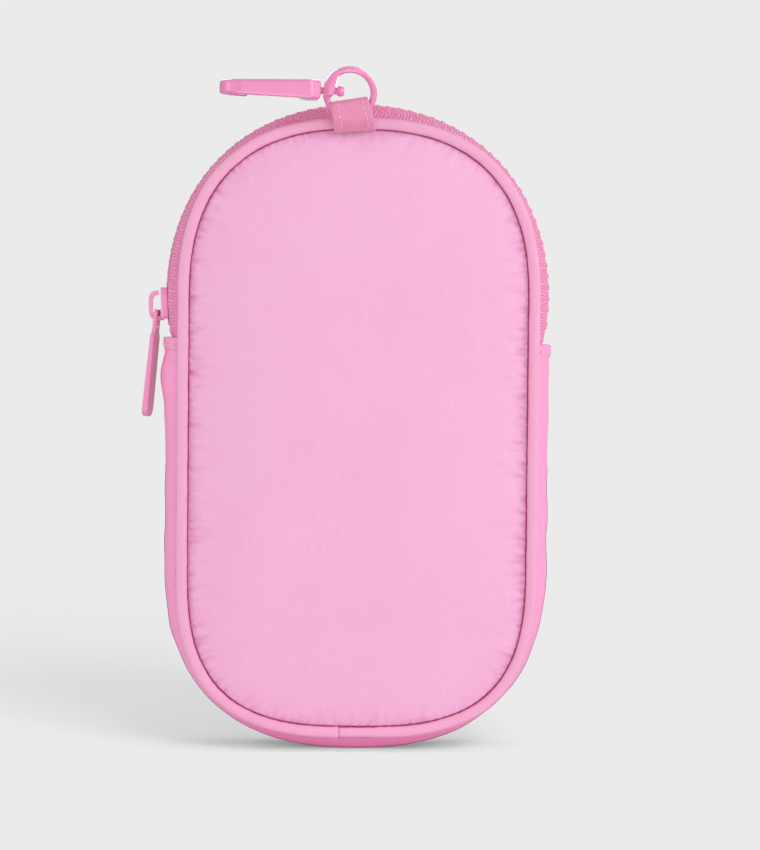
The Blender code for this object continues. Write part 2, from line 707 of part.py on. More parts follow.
def make_puller(pivot):
    puller = make_object("puller", puller_mesh(), "painted_metal")
    puller.parent = pivot
    puller.rotation_euler = (0, 0, PULLER_TWIST)
    hole_low = (-PULLER_END_THICKNESS, -PULLER_HOLE_HALF_WIDTH, -PULLER_BAR_WIDTH / 2 - PULLER_HOLE_LENGTH)
    hole_high = (PULLER_END_THICKNESS, PULLER_HOLE_HALF_WIDTH, -PULLER_BAR_WIDTH / 2)
    hole = make_cutter("puller_hole", box_mesh("puller_hole", hole_low, hole_high))
    hole.parent = pivot
    hole.rotation_euler = (0, 0, PULLER_TWIST)
    add_boolean(puller, hole, "DIFFERENCE")
    add_bevel(puller, PULLER_EDGE_RADIUS)
    shade_round(puller)
    return puller


def tab_sections():
    """Cross sections of the folded strap from its front foot over the ring to its back foot."""
    middle_y = (TAB_FRONT_Y + TAB_BACK_Y) / 2
    bend = (TAB_BACK_Y - TAB_FRONT_Y - TAB_THICKNESS) / 2
    bend_z = TAB_TOP_Z - bend - TAB_THICKNESS / 2
    foot_y = TAB_BACK_Y - TAB_THICKNESS / 2
    knee_z = RING_Z - RING_RADIUS - RING_WIRE_RADIUS - GAP
    path = [(foot_y - TAB_THICKNESS - GAP, TAB_FOOT_Z), (middle_y - bend, knee_z)]
    for step in range(ROUND_STEPS // 2 + 1):
        angle = math.pi * (1 - step / (ROUND_STEPS // 2))
        path.append((middle_y + bend * math.cos(angle), bend_z + bend * math.sin(angle)))
    path.append((middle_y + bend, TAB_FOOT_Z))
    sections = []
    for y, z in path:
        share = (z - TAB_FOOT_Z) / (TAB_TOP_Z - TAB_FOOT_Z)
        centre = TAB_FOOT_X + (TAB_TOP_X - TAB_FOOT_X) * share
        half = TAB_FOOT_HALF_WIDTH + (TAB_TOP_HALF_WIDTH - TAB_FOOT_HALF_WIDTH) * share
        tilt = half * math.tan(TAB_TILT_ANGLE) * share
        sections.append([(centre - half, y, z - tilt), (centre + half, y, z + tilt)])
    return sections


def make_tab():
    tab = make_object("hang_tab", loft_mesh("hang_tab", tab_sections()), "satin")
    add_thickness(tab, TAB_THICKNESS, 0)
    shade_round(tab)
    return tab


def boss_share(angle):
    """How far the ring's section has grown into the boss at an angle round the ring, from 0 to 1."""
    inside = min(angle - BOSS_TOP_ANGLE, BOSS_LOW_ANGLE - angle)
    return min(1, max(0, 1 + inside * RING_STEPS / (2 * math.pi)))


def swell_ring(mesh):
    """Grows the wire of a ring in X and Z into a collar that is round outside and flat inside."""
    corner_share = math.sin(math.pi / 4)
    for vert in mesh.vertices:
        angle = math.atan2(vert.co.z, vert.co.x) % (2 * math.pi)
        share = boss_share(angle)
        outward = (math.hypot(vert.co.x, vert.co.z) - RING_RADIUS) / RING_WIRE_RADIUS
        sideways = vert.co.y / RING_WIRE_RADIUS
        if min(abs(outward), abs(sideways)) > corner_share / 2:
            outward *= 1 + (BOSS_CORNER_SHARE / corner_share - 1) * share
            sideways *= 1 + (BOSS_CORNER_SHARE / corner_share - 1) * share
        half_depth, half_width, middle = RING_WIRE_RADIUS, RING_WIRE_RADIUS, RING_RADIUS
        if share:
            face = BOSS_FACE_DISTANCE / math.cos(math.pi - BOSS_FACE_LEAN_ANGLE - angle)
            half_depth += ((BOSS_OUTER_RADIUS - face) / 2 - RING_WIRE_RADIUS) * share
            half_width += (BOSS_HALF_WIDTH - RING_WIRE_RADIUS) * share
            middle += ((BOSS_OUTER_RADIUS + face) / 2 - RING_RADIUS) * share
        reach = middle + outward * half_depth
        vert.co = (reach * math.cos(angle), sideways * half_width, reach * math.sin(angle))


def make_ring(pivot):
    """The ring, swelling to a collar where the hook's post passes through it."""
    bpy.ops.mesh.primitive_torus_add(major_radius=RING_RADIUS, minor_radius=RING_WIRE_RADIUS,
                                     major_segments=RING_STEPS, minor_segments=8,
                                     rotation=(math.pi / 2, 0, 0))
    wire = bpy.context.object
    wire.data.transform(wire.matrix_basis.to_3x3().to_4x4())
    mesh = wire.data.copy()
    bpy.data.objects.remove(wire, do_unlink=True)
    swell_ring(mesh)
    ring = make_object("clasp_ring", mesh, "painted_metal")
    ring.parent = pivot
    bore_start = (-BOSS_OUTER_RADIUS - CUT_OVERRUN_LENGTH, 0, HOOK_ABOVE_RING_HEIGHT)
    bore_end = (-BOSS_FACE_DISTANCE + CUT_OVERRUN_LENGTH, 0, HOOK_ABOVE_RING_HEIGHT)
    bore = make_cutter("boss_bore", rod_mesh("boss_bore", POST_RADIUS + GAP, bore_start, bore_end, 12))
    bore.parent = pivot
    add_boolean(ring, bore, "DIFFERENCE")
    shade_round(ring)
    return ring


def make_post(pivot):
    """Swivel post with a peened head inside the ring, let into the hook."""
    head_reach = HOOK_ABOVE_RING_HEIGHT + POST_HEAD_RADIUS
    lean = BOSS_FACE_LEAN_ANGLE
    head_x = (head_reach * math.sin(lean) - BOSS_FACE_DISTANCE) / math.cos(lean) + GAP
    profile = [
        (0, head_x + POST_HEAD_LENGTH), (POST_HEAD_RADIUS * 0.7, head_x + POST_HEAD_LENGTH),
        (POST_HEAD_RADIUS, head_x + POST_HEAD_LENGTH / 2), (POST_HEAD_RADIUS * 0.8, head_x),
        (POST_RADIUS, head_x), (POST_RADIUS, -HOOK_START - HOOK_BASE_LENGTH / 3),
        (0, -HOOK_START - HOOK_BASE_LENGTH / 3),
    ]
    bm = bmesh.new()
    verts = [bm.verts.new((radius, 0, along)) for radius, along in profile]
    for near, far in zip(verts, verts[1:]):
        bm.edges.new((near, far))
    mesh = bpy.data.meshes.new("swivel_post")
    bm.to_mesh(mesh)
    bm.free()
    post = make_object("swivel_post", mesh, "painted_metal")
    post.parent = pivot
    post.rotation_euler = (0, math.pi / 2, 0)
    screw = post.modifiers.new("turned", "SCREW")
    screw.axis = "Z"
    screw.angle = 2 * math.pi
    screw.steps = ROUND_STEPS
    screw.render_steps = ROUND_STEPS
    screw.use_merge_vertices = True
    screw.merge_threshold = GAP / 10
    return post


def arc(centre, radius, start, end, steps):
    """Points on an arc in X and Y."""
    turns = [start + (end - start) * step / steps for step in range(steps + 1)]
    return [(centre[0] + radius * math.cos(turn), centre[1] + radius * math.sin(turn)) for turn in turns]


def hook_outline():
    """Plan of the hook, pointing along -X: a base, a straight back, a round bend and a nose."""
    inner = HOOK_HALF_WIDTH - HOOK_STOCK_WIDTH
    base_end = -HOOK_START - HOOK_BASE_LENGTH
    bend = (-HOOK_BEND, 0)
    nose_x = -HOOK_BEND + HOOK_NOSE_LENGTH
    half_steps = ROUND_STEPS - 4
    neck_x = HOOK_NECK_HALF_WIDTH - HOOK_HALF_WIDTH - HOOK_START
    outline = [(-HOOK_START, HOOK_NECK_HALF_WIDTH), (-HOOK_START, -HOOK_NECK_HALF_WIDTH)]
    outline.append((neck_x, -HOOK_HALF_WIDTH))
    outline += arc(bend, HOOK_HALF_WIDTH, -math.pi / 2, -math.pi * 3 / 2, half_steps)
    outline += [(nose_x, HOOK_HALF_WIDTH), (nose_x, inner)]
    outline += arc(bend, inner, -math.pi * 3 / 2, -math.pi / 2, half_steps)
    outline += [(base_end, -inner), (base_end, inner / 2), (base_end + inner / 2, HOOK_HALF_WIDTH)]
    outline.append((neck_x, HOOK_HALF_WIDTH))
    return outline


def hook_thickness(x):
    """Thickness of the hook at a distance along it, from root to tip."""
    share = min(1, max(0, (-x - HOOK_START) / HOOK_LENGTH))
    return HOOK_ROOT_THICKNESS + (HOOK_TIP_THICKNESS - HOOK_ROOT_THICKNESS) * share


def tapered_slab(name, outline, thickness_share):
    """A slab whose thickness follows the hook's taper."""
    mesh = slab_mesh(name, outline, -1 / 2, 1 / 2)
    for vert in mesh.vertices:
        vert.co.z *= hook_thickness(vert.co.x) * thickness_share
    return mesh


def make_hook(pivot):
    hook = make_object("hook_body", tapered_slab("hook_body", hook_outline(), 1), "painted_metal")
    hook.parent = pivot
    add_bevel(hook, HOOK_EDGE_RADIUS)
    inner = HOOK_HALF_WIDTH - HOOK_STOCK_WIDTH
    slot_inner_x = -HOOK_START - HOOK_BASE_LENGTH - CUT_OVERRUN_LENGTH / 4
    slot_low = (slot_inner_x, inner / 3, -GATE_SLOT_WIDTH / 2)
    slot_side_y = HOOK_HALF_WIDTH + CUT_OVERRUN_LENGTH
    slot_high = (-HOOK_START - HOOK_BASE_LENGTH / 4, slot_side_y, GATE_SLOT_WIDTH / 2)
    post_end = -HOOK_START - HOOK_BASE_LENGTH / 3 - GAP
    pin_low = (-GATE_PIN_X, GATE_PIN_Y, -HOOK_ROOT_THICKNESS)
    pin_high = (-GATE_PIN_X, GATE_PIN_Y, HOOK_ROOT_THICKNESS)
    cutters = {
        "gate_slot": box_mesh("gate_slot", slot_low, slot_high),
        "pin_hole": rod_mesh("pin_hole", PIN_RADIUS + GAP / 2, pin_low, pin_high, 12),
        "post_bore": rod_mesh("post_bore", POST_RADIUS + GAP / 2, (post_end, 0, 0), (0, 0, 0), 12),
    }
    for label, mesh in cutters.items():
        cutter = make_cutter("hook_" + label, mesh)
        cutter.parent = pivot
        add_boolean(hook, cutter, "DIFFERENCE")
    shade_round(hook)
    return hook


def make_gate(pivot):
    """The sprung gate, closed against the hook's nose, with a tongue on the pin."""
    inner = HOOK_HALF_WIDTH - HOOK_STOCK_WIDTH
    near = HOOK_START + HOOK_BASE_LENGTH + GAP - GATE_PIN_X
    far = HOOK_BEND - HOOK_NOSE_LENGTH - GAP - GATE_PIN_X
    low = inner + GAP - GATE_PIN_Y
    high = HOOK_HALF_WIDTH - GAP - GATE_PIN_Y
    middle = (near + far) / 2
    lug = (far - near) / 5
    outline = [
        (-near, low), (-near, high), (-middle + lug, high), (-middle, high + GATE_LUG_HEIGHT),
        (-middle - lug, high + GATE_LUG_HEIGHT), (-middle - 2 * lug, high), (-far, high), (-far, low),
    ]
    gate_mesh = slab_mesh("hook_gate", outline, -GATE_THICKNESS / 2, GATE_THICKNESS / 2)
    gate = make_object("hook_gate", gate_mesh, "painted_metal")
    gate.parent = pivot
    add_bevel(gate, GATE_EDGE_RADIUS, 1)
    heel = PIN_RADIUS + GATE_TONGUE_THICKNESS
    low_z = GATE_TONGUE_LOW_Z
    tongue_low = (-near - GATE_TONGUE_THICKNESS, low, low_z)
    tongue_high = (heel, high - GATE_EDGE_RADIUS, low_z + GATE_TONGUE_THICKNESS)
    tongue = make_cutter("gate_tongue", box_mesh("gate_tongue", tongue_low, tongue_high))
    bore_z = HOOK_ROOT_THICKNESS
    bore = make_cutter("gate_bore", rod_mesh("gate_bore", PIN_RADIUS + GAP / 2, (0, 0, -bore_z),
                                             (0, 0, bore_z), 12))
    for piece, operation in ((tongue, "UNION"), (bore, "DIFFERENCE")):
        piece.parent = pivot
        add_boolean(gate, piece, operation)
    shade_round(gate)
    return gate


def make_gate_pin(pivot):
    half = hook_thickness(-GATE_PIN_X) / 2 - GAP
    start = (-GATE_PIN_X, GATE_PIN_Y, -half)
    end = (-GATE_PIN_X, GATE_PIN_Y, half)
    pin = make_object("gate_pin", rod_mesh("gate_pin", PIN_RADIUS, start, end, 12), "steel")
    pin.parent = pivot
    shade_round(pin)
    return pin


def least_gap(points, apart, radius):
    """Smallest clear distance between stretches of a wire that lie further apart along it."""
    nearest = math.inf
    for index, point in enumerate(points):
        for other in points[index + apart:]:
            nearest = min(nearest, (Vector(point) - Vector(other)).length)
    return nearest - 2 * radius


def make_gate_spring(pivot):
    """A torsion spring coiled round the pin above the tongue, with a leg along the gate."""
    coil_radius = PIN_RADIUS + GAP + SPRING_WIRE_RADIUS * 2
    start_z = GATE_TONGUE_LOW_Z + GATE_TONGUE_THICKNESS + GAP + SPRING_WIRE_RADIUS
    turns = SPRING_TURNS * ROUND_STEPS // 2
    points = []
    for step in range(turns + 1):
        angle = math.pi / 2 + 2 * math.pi * SPRING_TURNS * step / turns
        z = start_z + SPRING_PITCH * SPRING_TURNS * step / turns
        points.append((coil_radius * math.cos(angle), coil_radius * math.sin(angle), z))
    leg = HOOK_START + HOOK_BASE_LENGTH - GATE_PIN_X
    points.insert(0, (-leg, coil_radius, start_z))
    print("gate_spring least gap", least_gap(points, ROUND_STEPS // 2 - 1, SPRING_WIRE_RADIUS), "metres")
    spring = make_object("gate_spring", wire_mesh("gate_spring", points, SPRING_WIRE_RADIUS, 1), "steel")
    spring.parent = pivot
    shade_round(spring)
    return spring


def make_panels(keep):
    make_panel("front_panel_upper", PANEL_EDGE_Y, PANEL_THICKNESS, -1, "satin", keep["above"])
    make_panel("front_panel_lower", PANEL_EDGE_Y, PANEL_THICKNESS, -1, "satin", keep["below"])
    make_panel("front_lining_upper", LINING_EDGE_Y, LINING_THICKNESS, -1, "lining", keep["above"])
    make_panel("front_lining_lower", LINING_EDGE_Y, LINING_THICKNESS, -1, "lining", keep["below"])
    make_panel("back_panel", PANEL_EDGE_Y, PANEL_THICKNESS, 1, "satin")
    make_panel("back_lining", LINING_EDGE_Y, LINING_THICKNESS, 1, "lining")
    make_piping("front_piping_upper", -1, keep["above"])
    make_piping("front_piping_lower", -1, keep["below"])
    make_piping("back_piping", 1)


def make_walls():
    gusset = make_gusset("gusset", 0, GUSSET_THICKNESS, GUSSET_ROWS, "satin_gusset")
    reach = CREST_HALF_WIDTH + CUT_OVERRUN_LENGTH
    floor = box_mesh("floor", (-reach, -reach, -CUT_OVERRUN_LENGTH), (reach, reach, 0))
    add_boolean(gusset, make_cutter("floor", floor), "DIFFERENCE")
    make_gusset("gusset_lining", GUSSET_THICKNESS + GAP, LINING_THICKNESS, GUSSET_ROWS - 2, "lining")


def make_zip(keep):
    make_zip_tape("zip_tape_back", 1)
    make_zip_tape("zip_tape_front", -1, keep["above"])
    make_zip_tape("zip_tape_front_left", -1, keep["below_left"])
    make_zip_tape("zip_tape_front_right", -1, keep["below_right"])
    half_gap = GAP / 2 / CHAIN_MID_RADIUS
    left_end = math.pi - CHAIN_END_ANGLE
    left_fold = math.pi - FOLD_ANGLE
    make_teeth("zip_teeth_back", 1, CHAIN_END_ANGLE, left_end)
    make_teeth("zip_teeth_front", -1, FOLD_ANGLE + half_gap, left_fold - half_gap)
    make_teeth("zip_teeth_front_left", -1, left_fold + half_gap, left_end)
    make_teeth("zip_teeth_front_right", -1, CHAIN_END_ANGLE, FOLD_ANGLE - half_gap)
    make_stop("zip_top_stop_front", -1, -TOOTH_ROOT_Y, -GAP / 2)
    make_stop("zip_top_stop_back", -1, GAP / 2, TOOTH_ROOT_Y)
    make_stop("zip_bottom_stop", 1, -TOOTH_ROOT_Y, TOOTH_ROOT_Y)


def make_slider_and_puller():
    park = math.pi / 2 - SLIDER_PARK_ANGLE
    pivot = make_axis("slider_axis", (0, 0, ARCH_Z), (0, park, 0))
    make_slider(pivot)
    plate_top = CHAIN_OUTER_RADIUS + SLIDER_ARC_GAP + SLIDER_PLATE_THICKNESS
    eye_out = plate_top + (CROWN_HEIGHT - CROWN_STOCK_THICKNESS - SLIDER_WELD_DEPTH) / 2
    crown_inside = CROWN_DROP_LENGTH + CROWN_HALF_LENGTH - CROWN_STOCK_THICKNESS
    eye_down = crown_inside - PULLER_BAR_WIDTH / 2 - GAP * 2
    eye = Matrix.Rotation(park, 3, "Y") @ Vector((-eye_down, 0, eye_out)) + Vector((0, 0, ARCH_Z))
    make_puller(make_axis("puller_axis", eye, (0, PULLER_LEAN, 0)))


def make_clasp():
    centre = (RING_X, RING_Y, RING_Z)
    pivot = make_axis("ring_axis", centre, (0, HOOK_RISE_ANGLE, 0))
    make_ring(pivot)
    swivel = make_axis("swivel_axis", (0, 0, HOOK_ABOVE_RING_HEIGHT), parent=pivot)
    make_post(swivel)
    make_hook(swivel)
    make_gate_pin(swivel)
    gate_pivot = make_axis("gate_axis", (-GATE_PIN_X, GATE_PIN_Y, 0), parent=swivel)
    make_gate(gate_pivot)
    make_gate_spring(gate_pivot)


clear_scene()
PARTS = make_collection(COLLECTION)
CUTTERS = make_collection("cutters")


def main():
    keep = fold_cutters()
    make_panels(keep)
    make_walls()
    make_zip(keep)
    make_slider_and_puller()
    make_tab()
    make_clasp()


main()
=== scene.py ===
"""Looks of the clip-on zip pouch: padded satin panels, piping, gusset, zip, tab and painted clasp."""

import math
import random

import bmesh
import bpy
import numpy as np
from mathutils import Matrix, Vector, noise
from mathutils.geometry import delaunay_2d_cdt
from mathutils.kdtree import KDTree


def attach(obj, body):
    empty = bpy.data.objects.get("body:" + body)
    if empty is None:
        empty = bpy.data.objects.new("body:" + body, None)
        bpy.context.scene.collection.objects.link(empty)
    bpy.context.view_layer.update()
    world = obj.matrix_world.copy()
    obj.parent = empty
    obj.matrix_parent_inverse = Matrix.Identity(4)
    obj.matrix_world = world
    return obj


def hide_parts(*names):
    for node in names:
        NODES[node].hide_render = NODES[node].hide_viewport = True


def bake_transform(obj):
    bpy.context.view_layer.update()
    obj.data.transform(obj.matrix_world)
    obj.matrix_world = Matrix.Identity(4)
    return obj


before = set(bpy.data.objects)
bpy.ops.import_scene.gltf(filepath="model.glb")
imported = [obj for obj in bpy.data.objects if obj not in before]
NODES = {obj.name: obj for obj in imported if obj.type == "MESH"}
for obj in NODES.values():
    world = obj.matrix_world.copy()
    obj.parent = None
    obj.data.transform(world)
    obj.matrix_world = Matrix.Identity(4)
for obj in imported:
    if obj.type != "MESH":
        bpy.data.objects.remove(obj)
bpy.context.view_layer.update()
scene = bpy.context.scene

# Sizes in metres, equal or close to the part's own
SEAM_A, SEAM_TOP_Z, SEAM_RISE, SEAM_TOP_N = 0.0469, 0.1249, 0.0472, 2.5
SEAM_FOOT_Z, SEAM_DROP, SEAM_FOOT_N = 0.0524, 0.0455, 2.93
CREST_A, CREST_DROP, CREST_N = 0.0539, 0.0526, 2.43
PIPE_R, PIPE_Y = 0.0016, 0.0118
ARCH_Z, CHAIN_R, TOOTH_T = 0.1262, 0.0535, 0.0026
MID_R = CHAIN_R - TOOTH_T / 2
TOOTH_PITCH, FOLD_TEETH = 0.0031, 25
PITCH = TOOTH_PITCH / MID_R
FOLD_ANGLE = math.pi / 2 - FOLD_TEETH * PITCH
CHAIN_END = math.radians(-6.8)
GUSSET_TOP, RIGHT_TOP = 0.1142, 0.1130
BODY_CENTRE = np.array((0, 0.09))
PAD_CENTRE = np.array((0.0, 0.0896))


# materials

def lin(*rgb):
    """A colour given from 0 to 255, as the linear values that nodes take."""
    shares = [v / 255 for v in rgb]
    return tuple(v / 12.92 if v <= 0.04045 else ((v + 0.055) / 1.055) ** 2.4 for v in shares) + (1.0,)


def tint(base, *factors):
    """The colour with each channel multiplied by its own factor."""
    return tuple(min(1, c * k) for c, k in zip(base[:3], factors)) + (1,)


class Nodes:
    """Small helper that wires a material's node tree."""

    def __init__(self, name):
        self.mat = bpy.data.materials.new(name)
        self.mat.use_nodes = True
        self.tree = self.mat.node_tree
        self.shader = self.tree.nodes["Principled BSDF"]
        self.coord = self.add("ShaderNodeTexCoord").outputs

    def add(self, kind, **values):
        node = self.tree.nodes.new(kind)
        for key, value in values.items():
            if key in node.inputs:
                node.inputs[key].default_value = value
            else:
                setattr(node, key, value)
        return node

    def feed(self, slot, value):
        """Sets an input to a number or a colour, or links another node's output to it."""
        if isinstance(value, (int, float, tuple)):
            slot.default_value = value
        else:
            self.tree.links.new(value, slot)

    def surface(self, values):
        """Feeds the shader's inputs and gives the finished material."""
        for name, value in values.items():
            self.feed(self.shader.inputs[name], value)
        return self.mat

    def math(self, op, a, b=0.0):
        node = self.add("ShaderNodeMath", operation=op)
        self.feed(node.inputs[0], a)
        self.feed(node.inputs[1], b)
        return node.outputs[0]

    def times(self, a, b):
        return self.math("MULTIPLY", a, b)

    def mix(self, factor, a, b):
        node = self.add("ShaderNodeMix", data_type="RGBA")
        for k, value in ((0, factor), (6, a), (7, b)):
            self.feed(node.inputs[k], value)
        return node.outputs[2]

    def noise_at(self, scale, stretch=(1, 1, 1), detail=2.0, coord="Object"):
        mapping = self.add("ShaderNodeMapping", Scale=stretch)
        self.feed(mapping.inputs["Vector"], self.coord[coord])
        node = self.add("ShaderNodeTexNoise", Scale=scale, Detail=detail)
        self.feed(node.inputs["Vector"], mapping.outputs[0])
        return node.outputs["Fac"]

    def bump(self, height, strength, distance, normal=None):
        node = self.add("ShaderNodeBump", Strength=strength, Distance=distance)
        self.feed(node.inputs["Height"], height)
        if normal is not None:
            self.feed(node.inputs["Normal"], normal)
        return node.outputs[0]


def satin(name, colour, thread=0.00022, rough=0.52, sheen=0.22, bump=0.35, wrinkle=0.4, lines=1.0):
    """Satin nylon: fine vertical threads, a soft sheen, faint slubs and small soft wrinkles."""
    n = Nodes(name)
    warp = n.noise_at(1 / thread, (1.0, 1.0, 0.10), 1.5)
    weft = n.noise_at(1 / thread, (0.10, 0.10, 1.0), 1.5)
    slub = n.noise_at(1500, (1.0, 1.0, 0.10), 3.0)
    cloud = n.noise_at(34, detail=3.0)
    fleck = n.noise_at(1900)
    base = lin(*colour)
    light = tint(base, 1.05, 1.12, 1.08)
    dark = tint(base, 0.94, 0.78, 0.86)
    tone = n.mix(0.45, base, n.mix(cloud, dark, light))
    tone = n.mix(n.times(warp, 0.34), tone, dark)
    tone = n.mix(n.times(n.math("SUBTRACT", slub, 0.40), 0.7 * lines), tone, light)
    tone = n.mix(n.times(n.math("SUBTRACT", fleck, 0.58), 1.6 * lines), tone, light)
    # Painted shade: a point attribute darkens the colour to a deep, saturated pink in folds, along seams and
    # near the floor.
    painted_shade = n.add("ShaderNodeAttribute", attribute_name="painted_shade").outputs["Fac"]
    normal = n.bump(n.noise_at(150, (1.0, 1.0, 0.55), 3.0), wrinkle * 0.35, 0.0006)
    normal = n.bump(warp, bump, 0.00005, normal)
    return n.surface({
        "Base Color": n.mix(painted_shade, tone, tint(base, 0.80, 0.46, 0.66)),
        "Roughness": n.math("ADD", n.times(slub, 0.18), rough - 0.09),
        "Sheen Weight": sheen, "Sheen Roughness": 0.45, "Sheen Tint": lin(255, 190, 222),
        "Specular IOR Level": 0.30, "Specular Tint": lin(255, 205, 230),
        "Normal": n.bump(weft, bump * 0.5, 0.00004, normal),
    })


KNIT_COLUMN = 0.0015
KNIT_LOOP = 0.00092


def woven_tape(name, colour):
    """Knitted zip tape: columns of slanting loops that turn from one column to the next."""
    n = Nodes(name)
    parts = n.add("ShaderNodeSeparateXYZ")
    n.feed(parts.inputs[0], n.coord["UV"])
    along, across = parts.outputs[0], parts.outputs[1]
    zig = n.times(n.math("PINGPONG", across, KNIT_COLUMN), 0.42)
    loose = n.times(n.noise_at(620, coord="UV"), 0.0015)
    run = n.math("ADD", n.math("ADD", along, zig), loose)
    wave = n.math("SINE", n.times(run, 2 * math.pi / KNIT_LOOP))
    rib = n.math("ABSOLUTE", n.math("SINE", n.times(across, math.pi / KNIT_COLUMN)))
    loop = n.times(n.math("ADD", wave, 1.0), 0.5)
    fuzz = n.times(n.noise_at(1500), 0.35)
    base = lin(*colour)
    # Painted shade and light: the colour is darker and more saturated in the gaps between the loops and
    # lighter on the loops, following the same height as the bump.
    share = n.math("POWER", n.times(loop, n.math("ADD", n.times(rib, 0.6), 0.4)), 0.7)
    tone = n.mix(share, tint(base, 0.93, 0.32, 0.59), tint(base, 1.08, 1.34, 1.20))
    return n.surface({
        "Base Color": n.mix(fuzz, tone, base),
        "Roughness": 0.85, "Sheen Weight": 0.3, "Sheen Roughness": 0.5,
        "Normal": n.bump(n.math("ADD", n.times(loop, rib), fuzz), 0.9, 0.0003),
    })


def lining_cloth(name, colour):
    """Plain taffeta lining with a visible basket weave."""
    n = Nodes(name)
    weave = n.math("ADD", n.noise_at(3400, (1.0, 1.0, 0.12), 1.0), n.noise_at(3400, (0.12, 0.12, 1.0), 1.0))
    base = lin(*colour)
    return n.surface({
        "Base Color": n.mix(n.times(weave, 0.35), base, tint(base, 0.86, 0.72, 0.80)),
        "Roughness": 0.66, "Sheen Weight": 0.25,
        "Normal": n.bump(weave, 0.4, 0.00006, n.bump(n.noise_at(90, (1, 1, 0.4), 3.0), 0.5, 0.0008)),
    })


def paint(name, colour, rough=0.24, coat=0.6):
    """Satin-gloss enamel on cast metal, with faint orange peel and a lighter colour on sharp edges."""
    n = Nodes(name)
    base = lin(*colour)
    body = n.mix(n.times(n.noise_at(160, detail=3.0), 0.5), base, tint(base, 0.90, 0.76, 0.85))
    edge = n.add("ShaderNodeNewGeometry").outputs["Pointiness"]
    clamp = n.add("ShaderNodeClamp")
    n.feed(clamp.inputs[0], n.times(n.math("SUBTRACT", edge, 0.52), 4.0))
    return n.surface({
        "Base Color": n.mix(clamp.outputs[0], body, tint(base, 1.12, 1.12, 1.12)),
        "Roughness": rough, "Coat Weight": coat, "Coat Roughness": 0.08, "Specular IOR Level": 0.55,
        "Normal": n.bump(n.noise_at(1500), 0.10, 0.00004),
    })


def moulded(name, colour):
    """Moulded acetal for the zip teeth: slightly translucent pink, fine mould grain."""
    n = Nodes(name)
    base = lin(*colour)
    return n.surface({
        "Base Color": n.mix(n.times(n.noise_at(300), 0.5), base, tint(base, 0.88, 0.74, 0.82)),
        "Roughness": 0.38, "Subsurface Weight": 0.08, "Subsurface Radius": (0.0012, 0.0006, 0.0008),
        "Normal": n.bump(n.noise_at(1800), 0.15, 0.00005),
    })


def thread(name, colour):
    """Twisted sewing thread."""
    n = Nodes(name)
    twist = n.noise_at(5200, (1.0, 1.0, 0.6), 1.0)
    base = lin(*colour)
    return n.surface({
        "Base Color": n.mix(twist, tint(base, 0.82, 0.82, 0.82), base),
        "Roughness": 0.6, "Sheen Weight": 0.3,
        "Normal": n.bump(twist, 0.6, 0.00008),
    })


def steel(name):
    """Bright spring steel with fine drawn lines."""
    n = Nodes(name)
    lines = n.noise_at(2400, (1.0, 1.0, 0.1))
    return n.surface({
        "Base Color": n.mix(lines, lin(120, 120, 126), lin(176, 176, 182)),
        "Metallic": 1.0, "Roughness": 0.32,
        "Normal": n.bump(lines, 0.15, 0.00005),
    })


M = {
    "panel": satin("panel_satin", (241, 182, 216)),
    "back": satin("back_satin", (242, 179, 211)),
    "piping": satin("piping_satin", (240, 174, 205), thread=0.0002, rough=0.55, wrinkle=0.9, lines=0.6),
    # Partly painted shade: the gusset's colour is more saturated than the panel's, standing in for light
    # bounced within its shaded sides.
    "gusset": satin("gusset_satin", (255, 168, 212), rough=0.52, wrinkle=1.0, lines=0.6),
    "tab": satin("tab_satin", (230, 147, 182), rough=0.42, wrinkle=0.8, lines=0.6),
    # Partly painted shade: the tape's colour is more saturated than the panel's, standing in for light
    # bounced within its shaded folds.
    "tape": woven_tape("zip_tape_cloth", (248, 156, 200)),
    "teeth": moulded("zip_teeth_acetal", (240, 146, 188)),
    "lining": lining_cloth("lining_taffeta", (233, 158, 198)),
    "metal": paint("clasp_enamel", (237, 139, 189)),
    "metal_dark": paint("slider_enamel", (245, 153, 198), rough=0.34),
    "cream": thread("cream_thread", (244, 206, 200)),
    "pink_thread": thread("seam_thread", (190, 36, 114)),
    # Thread for the piping's outer seam: its dark pink is partly painted shadow of the seam.
    "edge_shadow_thread": thread("edge_shadow_thread", (214, 104, 158)),
    "steel": steel("spring_steel"),
}


# shapes

def polar(angle, a, b, n):
    """The point at an angle on a superellipse with the half axes a and b."""
    r = ((abs(math.cos(angle)) / a) ** n + (abs(math.sin(angle)) / b) ** n) ** (-1 / n)
    return np.array((r * math.cos(angle), r * math.sin(angle)))


HALF_STEPS = 360


def closed_line(count, grow=0.0):
    """The seam's evenly spaced points from the bottom middle, as x and z, their places and its length."""
    turns = [i / HALF_STEPS for i in range(HALF_STEPS + 1)]
    top = [polar(math.pi * t, SEAM_A, SEAM_RISE, SEAM_TOP_N) + (0, SEAM_TOP_Z) for t in turns]
    foot = [polar(math.pi * (1 + t), SEAM_A, SEAM_DROP, SEAM_FOOT_N) + (0, SEAM_FOOT_Z) for t in turns]
    raw = np.array(top + foot)
    start = int(np.argmin(raw[:, 1]))
    raw = np.roll(raw, -start, axis=0)[::-1]
    closed = np.vstack([raw, raw[:1]])
    length = np.concatenate([[0], np.cumsum(np.linalg.norm(np.diff(closed, axis=0), axis=1))])
    at = np.arange(count) * length[-1] / count
    line = np.stack([np.interp(at, length, closed[:, k]) for k in (0, 1)], axis=1)
    if grow:
        line = offset(line, grow)
    return line, at, length[-1]


